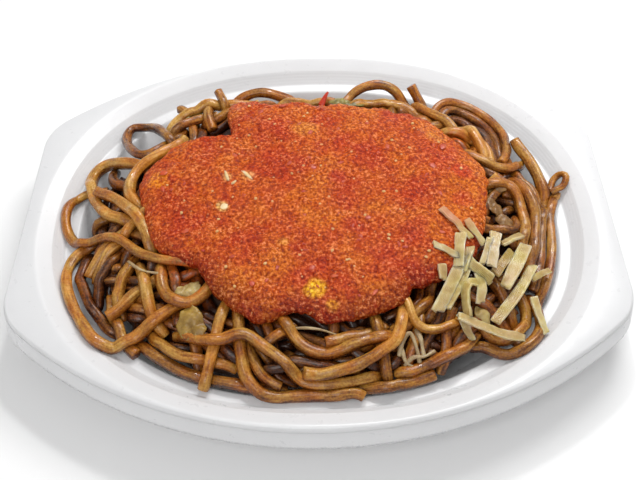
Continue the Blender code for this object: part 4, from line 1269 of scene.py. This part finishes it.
def sauce_lumps(points):
    """Height of the pulp's lumps: broad swells, soft lumps and grains."""
    x = points[..., 0] + 0.6 * points[..., 2]
    y = points[..., 1] - 0.8 * points[..., 2]
    swell = 0.0010 * smooth_noise(x, y, 0.016, 31)
    lump = 0.00050 * smooth_noise(x, y, 0.0046, 32) + 0.00036 * smooth_noise(x, y, 0.0026, 33)
    grain = 0.00026 * smooth_noise(x, y, 0.0014, 34) + 0.00012 * smooth_noise(x, y, 0.0009, 35)
    return swell + lump + grain


def sauce_colours(points):
    """Orange and red drifting into each other, with patches of pepper, and painted shade on the front edge, which
    faces away from the light.
    """
    x, y = points[:, 0], points[:, 1]
    drift = 0.5 + 0.5 * smooth_noise(x, y, 0.013, 41) + 0.35 * smooth_noise(x, y, 0.005, 42)
    drift = np.clip(drift, 0.0, 1.0)[:, None]
    colours = np.array(SAUCE_RED) * (1 - drift) + np.array(SAUCE_ORANGE) * drift
    for (px, py), reach, strength, colour in SAUCE_PATCHES:
        uneven = 1.0 + 0.18 * smooth_noise(x, y, 0.0030, 43)
        away = np.hypot(x - px * MM, y - py * MM) / (reach * MM) * uneven
        share = (strength * smooth_step(away, 1.25, 0.55))[:, None]
        colours = colours * (1 - share) + np.array(colour) * share
    edge = np.hypot(x - SAUCE_CENTRE[0], y - SAUCE_CENTRE[1])
    edge = edge / sauce_reach(np.arctan2(y - SAUCE_CENTRE[1], x - SAUCE_CENTRE[0]))
    # Painted shade along the front edge.
    front = (smooth_step(edge, 0.80, 1.0) * smooth_step(-y, 0.015, 0.045))[:, None]
    return colours * (1 - front * (1 - np.array(FRONT_DARKENING)))


def make_sauce():
    points, facing, share, quads = sauce_surface()
    shown = smooth_step(share, -0.05, 0.25)
    points = points + facing * (sauce_lumps(points) * shown)[:, None]
    # The square grid's own border is the pool's lowest ring: one face closes it underneath.
    side = 2 * SAUCE_RINGS + 1
    line = np.arange(side)
    border = [*line[:-1], *(line[:-1] * side + side - 1), *(side * side - 1 - line[:-1]),
              *((side - 1 - line[:-1]) * side)]
    mesh = new_mesh("sauce_pool", points, quads.tolist() + [border])
    face_outwards(mesh)
    add_colour(mesh, "tint", sauce_colours(points))
    add_piece("sauce_pool", mesh, sauce_material(), "sauce", "sauce")


def sauce_top(x, y):
    """Height of the pool's upper side at a point well inside its edge."""
    point = np.array([x, y, float(heap_top(x, y)) + SAUCE_THICKNESS])
    return point[2] + float(sauce_lumps(point))


def pebble(place, size, turn, chance, rows=6, columns=10):
    """A small uneven lump: points and faces round a place, with half sizes (x, y, z)."""
    polar = np.linspace(0.12, math.pi - 0.12, rows)[:, None]
    around = np.linspace(0, 2 * math.pi, columns, endpoint=False)[None, :]
    bulge = 1.0 + chance.uniform(-0.16, 0.16, (rows, columns))
    x = np.sin(polar) * np.cos(around) * bulge * size[0]
    y = np.sin(polar) * np.sin(around) * bulge * size[1]
    z = np.cos(polar) * bulge * size[2]
    points = np.stack([x * math.cos(turn) - y * math.sin(turn), x * math.sin(turn) + y * math.cos(turn), z], -1)
    faces = grid_faces(rows, columns, closed=True).tolist()
    faces += [list(range(columns)), list(range((rows - 1) * columns, rows * columns))]
    return points.reshape(-1, 3) + np.array(place), faces


def scatter_mesh(name, lumps):
    """Many small lumps joined in one mesh."""
    points, faces, offset = [], [], 0
    for lump_points, lump_faces in lumps:
        points.append(lump_points)
        faces += [[offset + i for i in face] for face in lump_faces]
        offset += len(lump_points)
    mesh = new_mesh(name, np.vstack(points), faces)
    face_outwards(mesh)
    return mesh


def place_in_sauce(chance, most=0.93):
    angle = chance.uniform(0, 2 * math.pi)
    reach = float(sauce_reach(np.array([angle]))[0]) * most * math.sqrt(chance.uniform(0.0, 1.0))
    return SAUCE_CENTRE[0] + reach * math.cos(angle), SAUCE_CENTRE[1] + reach * math.sin(angle)


SEED_COUNT = 70
SKIN_COUNT = 64
CREAM_BITS = ((-37, -10, 2.6, 1.9, 0.4), (-36, 5, 3.0, 0.7, 1.9), (-28, 6, 3.4, 0.7, 2.3),
              (-33, 2, 1.4, 0.6, 0.8))


def make_sauce_bits():
    """Seeds, scraps of red skin and bits of garlic, half sunk in the pool."""
    chance = np.random.default_rng(51)
    seeds = []
    for _ in range(SEED_COUNT):
        x, y = place_in_sauce(chance)
        size = chance.uniform(0.0004, 0.0008)
        seeds.append(pebble((x, y, sauce_top(x, y)), (size, size * 0.8, size * 0.4),
                            chance.uniform(0, 6), chance))
    seed_material = leaf_material("pepper_seed", (0.62, 0.26, 0.07), (0.80, 0.50, 0.20))
    add_piece("pepper_seeds", scatter_mesh("pepper_seeds", seeds), seed_material, "sauce")
    skins = []
    for _ in range(SKIN_COUNT):
        x, y = place_in_sauce(chance)
        size = chance.uniform(0.0007, 0.0019)
        skins.append(pebble((x, y, sauce_top(x, y) - 0.0001), (size, size * chance.uniform(0.3, 0.8), 0.00022),
                            chance.uniform(0, 6), chance))
    skin_material = leaf_material("pepper_skin", (0.38, 0.016, 0.004), (0.62, 0.085, 0.010))
    add_piece("pepper_skins", scatter_mesh("pepper_skins", skins), skin_material, "sauce")
    cream = []
    for x, y, length, width, turn in CREAM_BITS:
        place = (x * MM, y * MM, sauce_top(x * MM, y * MM))
        cream.append(pebble(place, (length * MM, width * MM, 0.0005), turn, chance, 8, 16))
    cream_material = leaf_material("garlic_bit", (0.70, 0.46, 0.20), (0.86, 0.68, 0.40))
    add_piece("garlic_bits", scatter_mesh("garlic_bits", cream), cream_material, "sauce")


# ---------------------------------------------------------------- strips, leaves and scraps

STRIP_FLATNESS = 0.62
STRIP_BEVEL = 0.30


def cut_section(flatness):
    """A rectangle with slightly blunt corners, one unit wide either way: arrays of x and y."""
    quarter = [(1.0, 0.0), (1.0, 0.5 * flatness), (1.0, flatness * (1 - 2 * STRIP_BEVEL)),
               (1.0 - 0.3 * STRIP_BEVEL, flatness * (1 - 0.6 * STRIP_BEVEL)),
               (1.0 - STRIP_BEVEL * flatness * 1.6, flatness), (0.45, flatness)]
    half = quarter + [(0.0, flatness)] + [(-x, y) for x, y in reversed(quarter[1:])]
    whole = half + [(-1.0, 0.0)] + [(-x, -y) for x, y in half[1:]]
    return np.array(whole).T


def make_strips():
    """Square-cut pickled strips in a loose heap; those in the sauce are stained by it."""
    chance = np.random.default_rng(61)
    points, faces, tones, smears, fibres, edges, offset = [], [], [], [], [], [], 0
    for knots, width, depth, tone in STRIPS:
        middle = np.array(knots, dtype=float) * MM
        middle[:, 2] += heap_top(middle[:, 0], middle[:, 1])
        route = even_route(middle, 0.0007)
        share = np.linspace(0, 1, len(route))
        waist = 1.0 + 0.07 * np.sin(share * chance.uniform(2, 7) + chance.uniform(0, 6))
        waist *= 1.0 - 0.16 * chance.uniform(0, 1) * share
        section = cut_section(STRIP_FLATNESS * depth / width)
        sides = section.shape[1]
        turn = chance.uniform(-0.35, 0.35) + share * chance.uniform(-0.7, 0.7)
        rings = tube_points(route, width * MM / 2 * waist, turn, section, end_rounding=0.06)
        # The knife cut the ends at a slant: one side of the strip runs on further than the other.
        slants = chance.uniform(-0.45, 0.45, 2)
        run = np.linspace(0.0, 1.0, len(rings))
        slant = slants[0] * (1 - run) ** 6 + slants[1] * run ** 6
        way = (route[-1] - route[0]) / np.linalg.norm(route[-1] - route[0])
        rings += (slant[:, None] * section[0] * width * MM / 2)[:, :, None] * way
        quads = grid_faces(len(rings), sides, closed=True)
        last = (len(rings) - 1) * sides
        caps = [list(range(sides)), list(range(last, last + sides))]
        faces += (quads + offset).tolist() + [[offset + i for i in cap] for cap in caps]
        flat = rings.reshape(-1, 3)
        flat += 0.00022 * smooth_noise(flat[:, 0] + flat[:, 2], flat[:, 1], 0.0030, 62)[:, None]
        flat += 0.00010 * smooth_noise(flat[:, 0], flat[:, 1] + flat[:, 2], 0.0013, 63)[:, None]
        points.append(flat)
        tones.append(np.full(len(flat), tone))
        (stain_x, stain_y), reach = STRIP_STAIN
        away = np.hypot(flat[:, 0] - stain_x, flat[:, 1] - stain_y)
        smears.append(0.62 * smooth_step(away, reach, 0.25 * reach))
        fibres.append(np.tile(section[0] * width, len(rings)))
        # How near each point is to a strip's side, for the painted edge highlight.
        edges.append(np.tile(np.abs(section[0]) ** 3, len(rings)))
        offset += len(flat)
    mesh = new_mesh("pickled_strip_heap", np.vstack(points), faces)
    face_outwards(mesh)
    add_value(mesh, "tone", np.concatenate(tones))
    add_value(mesh, "smear", np.concatenate(smears))
    add_value(mesh, "fibre", np.concatenate(fibres))
    add_value(mesh, "edge", np.concatenate(edges))
    add_piece("pickled_strip_heap", mesh, strip_material(), "pickled_strips", "pickled_strips")


def leaf_mesh(name, x, y, half_length, half_width, turn, lift, seed):
    """A crumpled scrap of leaf with a ragged edge, in millimetres, lying on the heap."""
    around = np.linspace(0, 2 * math.pi, 44, endpoint=False)[None, :]
    out = np.linspace(0.04, 1.0, 12)[:, None]
    ragged = 1.0 + 0.14 * np.sin(2 * around + seed) + 0.11 * np.sin(3 * around + 3 * seed)
    ragged = ragged + 0.05 * np.sin(7 * around + 2 * seed) + 0.04 * np.sin(11 * around + seed)
    flat_x = out * np.cos(around) * half_length * ragged
    flat_y = out * np.sin(around) * half_width * ragged
    angle = math.radians(turn)
    px = (x + flat_x * math.cos(angle) - flat_y * math.sin(angle)) * MM
    py = (y + flat_x * math.sin(angle) + flat_y * math.cos(angle)) * MM
    crumple = 0.0011 * smooth_noise(px, py, 0.0034, seed) + 0.0007 * smooth_noise(px, py, 0.0017, seed + 1)
    height = heap_top(px, py) + lift * MM + crumple - 0.0010 * out ** 2
    points = np.stack([px, py, height], -1).reshape(-1, 3)
    faces = grid_faces(12, 44, closed=True).tolist() + [list(range(44))]
    return new_mesh(name, points, faces)


def add_leaf(name, shape, seed, material, slot, *replaced):
    mesh = leaf_mesh(name, *shape, seed)
    face_outwards(mesh)
    piece = add_piece(name, mesh, material, slot, *replaced)
    shell = piece.modifiers.new("thickness", "SOLIDIFY")
    shell.thickness = 0.0006
    shell.offset = 0.0


def make_leaves():
    """Cabbage and fried scraps among the noodles."""
    pale = leaf_material("cabbage_pale", (0.36, 0.22, 0.06), (0.66, 0.52, 0.22))
    fried = leaf_material("cabbage_golden", (0.20, 0.10, 0.016), (0.46, 0.29, 0.060))
    brown = leaf_material("cabbage_fried", (0.13, 0.055, 0.018), (0.38, 0.21, 0.075))
    green = leaf_material("cabbage_green", (0.12, 0.09, 0.02), (0.40, 0.34, 0.10))
    add_leaf("cabbage_front", (-46.6, -56.5, 7.4, 4.4, 106, 3.4), 5, fried, "cabbage", "cabbage_leaf_front")
    add_leaf("cabbage_back", (13, 59, 7.5, 3.6, 5, 1.6), 9, green, "cabbage", "cabbage_leaf_back")
    add_leaf("cabbage_right", (76, 8, 4.0, 3.0, 30, 2.4), 13, brown, "cabbage", "cabbage_leaf_right")
    add_leaf("scrap_left_back", (-55, 54, 4.5, 2.6, 40, 1.2), 17, green, "cabbage")
    add_leaf("scrap_right_a", (71, -3.5, 5.0, 2.6, 105, 1.6), 19, brown, "cabbage")
    add_leaf("scrap_right_b", (75, -11, 4.8, 2.4, 140, 1.5), 23, brown, "cabbage")
    add_leaf("scrap_under_strips", (61, -53.5, 4.2, 2.4, 100, 2.6), 31, pale, "cabbage")
    add_leaf("scrap_front_left", (-49, -42, 4.6, 3.0, 20, 0.4), 27, pale, "cabbage")


# Thin sprouts: points (x, y) and the height over the heap, in millimetres; then their half thickness.
SPROUTS = (
    (((-73, -29, 3.2), (-70, -32, 3.6), (-66, -34.5, 3.4), (-60, -36, 2.6)), 0.55),
    (((-9, -60, 1.2), (-4, -61, 3.2), (1, -61.8, 3.4), (6, -63, 2.6), (11, -64, 1.2)), 0.45),
    (((29, -69, 1.0), (30.3, -65, 2.8), (33, -62.5, 3.4), (35, -66, 2.8), (36.5, -71, 1.2)), 0.80),
    (((31, -72, 1.0), (34, -70, 2.6), (38, -69.5, 2.6), (42, -67, 1.4)), 0.70),
    (((35.5, -60, 0.6), (37, -64, 2.4), (38, -69, 1.6)), 0.90),
    (((30, -66.5, 1.2), (31.5, -71.5, 2.2), (36, -73, 1.6)), 0.65),
)


def make_sprouts():
    """Thin translucent sprouts between the front strands."""
    section = rounded_square(2.0)
    points, faces, offset = [], [], 0
    for knots, half in SPROUTS:
        middle = np.array(knots, dtype=float) * MM
        middle[:, 2] += heap_top(middle[:, 0], middle[:, 1])
        route = even_route(middle, 0.0006)
        swell = 1.0 + 0.25 * np.sin(np.linspace(0.0, 7.0, len(route)))
        rings = tube_points(route, half * MM * swell, np.zeros(len(route)), section)
        sides = len(section[0])
        last = (len(rings) - 1) * sides
        faces += (grid_faces(len(rings), sides, closed=True) + offset).tolist()
        faces += [list(range(offset, offset + sides)), list(range(offset + last, offset + last + sides))]
        points.append(rings.reshape(-1, 3))
        offset += len(points[-1])
    mesh = new_mesh("bean_sprouts", np.vstack(points), faces)
    face_outwards(mesh)
    material = leaf_material("sprout_pale", (0.26, 0.16, 0.07), (0.56, 0.43, 0.25))
    add_piece("bean_sprouts", mesh, material, "cabbage")


def make_pepper():
    """A tapering sliver of red pepper that stands up behind the sauce."""
    knots = []
    for x, y, lift in ((2.2, 56, 1.0), (3.8, 58.6, 4.0), (5.2, 60.6, 6.0)):
        knots.append((x * MM, y * MM, float(heap_top(x * MM, y * MM)) + lift * MM))
    route = even_route(knots, 0.0004)
    width = np.linspace(0.0016, 0.0005, len(route))
    rings = tube_points(route, width, np.zeros(len(route)), rounded_square(3.0, 0.55))
    faces = grid_faces(len(rings), 12, closed=True).tolist()
    faces += [list(range(12)), list(range((len(rings) - 1) * 12, len(rings) * 12))]
    mesh = new_mesh("red_sliver", rings.reshape(-1, 3), faces)
    face_outwards(mesh)
    material = leaf_material("red_pepper", (0.42, 0.020, 0.006), (0.66, 0.060, 0.015))
    add_piece("red_sliver", mesh, material, "pepper", "pepper_sliver")


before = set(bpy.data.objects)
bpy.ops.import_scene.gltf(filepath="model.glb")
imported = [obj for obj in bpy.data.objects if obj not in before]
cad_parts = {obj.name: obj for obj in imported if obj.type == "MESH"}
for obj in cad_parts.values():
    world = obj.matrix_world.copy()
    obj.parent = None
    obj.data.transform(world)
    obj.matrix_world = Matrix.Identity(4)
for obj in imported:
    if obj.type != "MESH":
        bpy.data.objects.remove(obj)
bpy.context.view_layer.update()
make_camera()
make_light()
make_floor()
make_plate()
make_core()
make_noodles()
make_sauce()
make_sauce_bits()
make_strips()
make_leaves()
make_sprouts()
make_pepper()
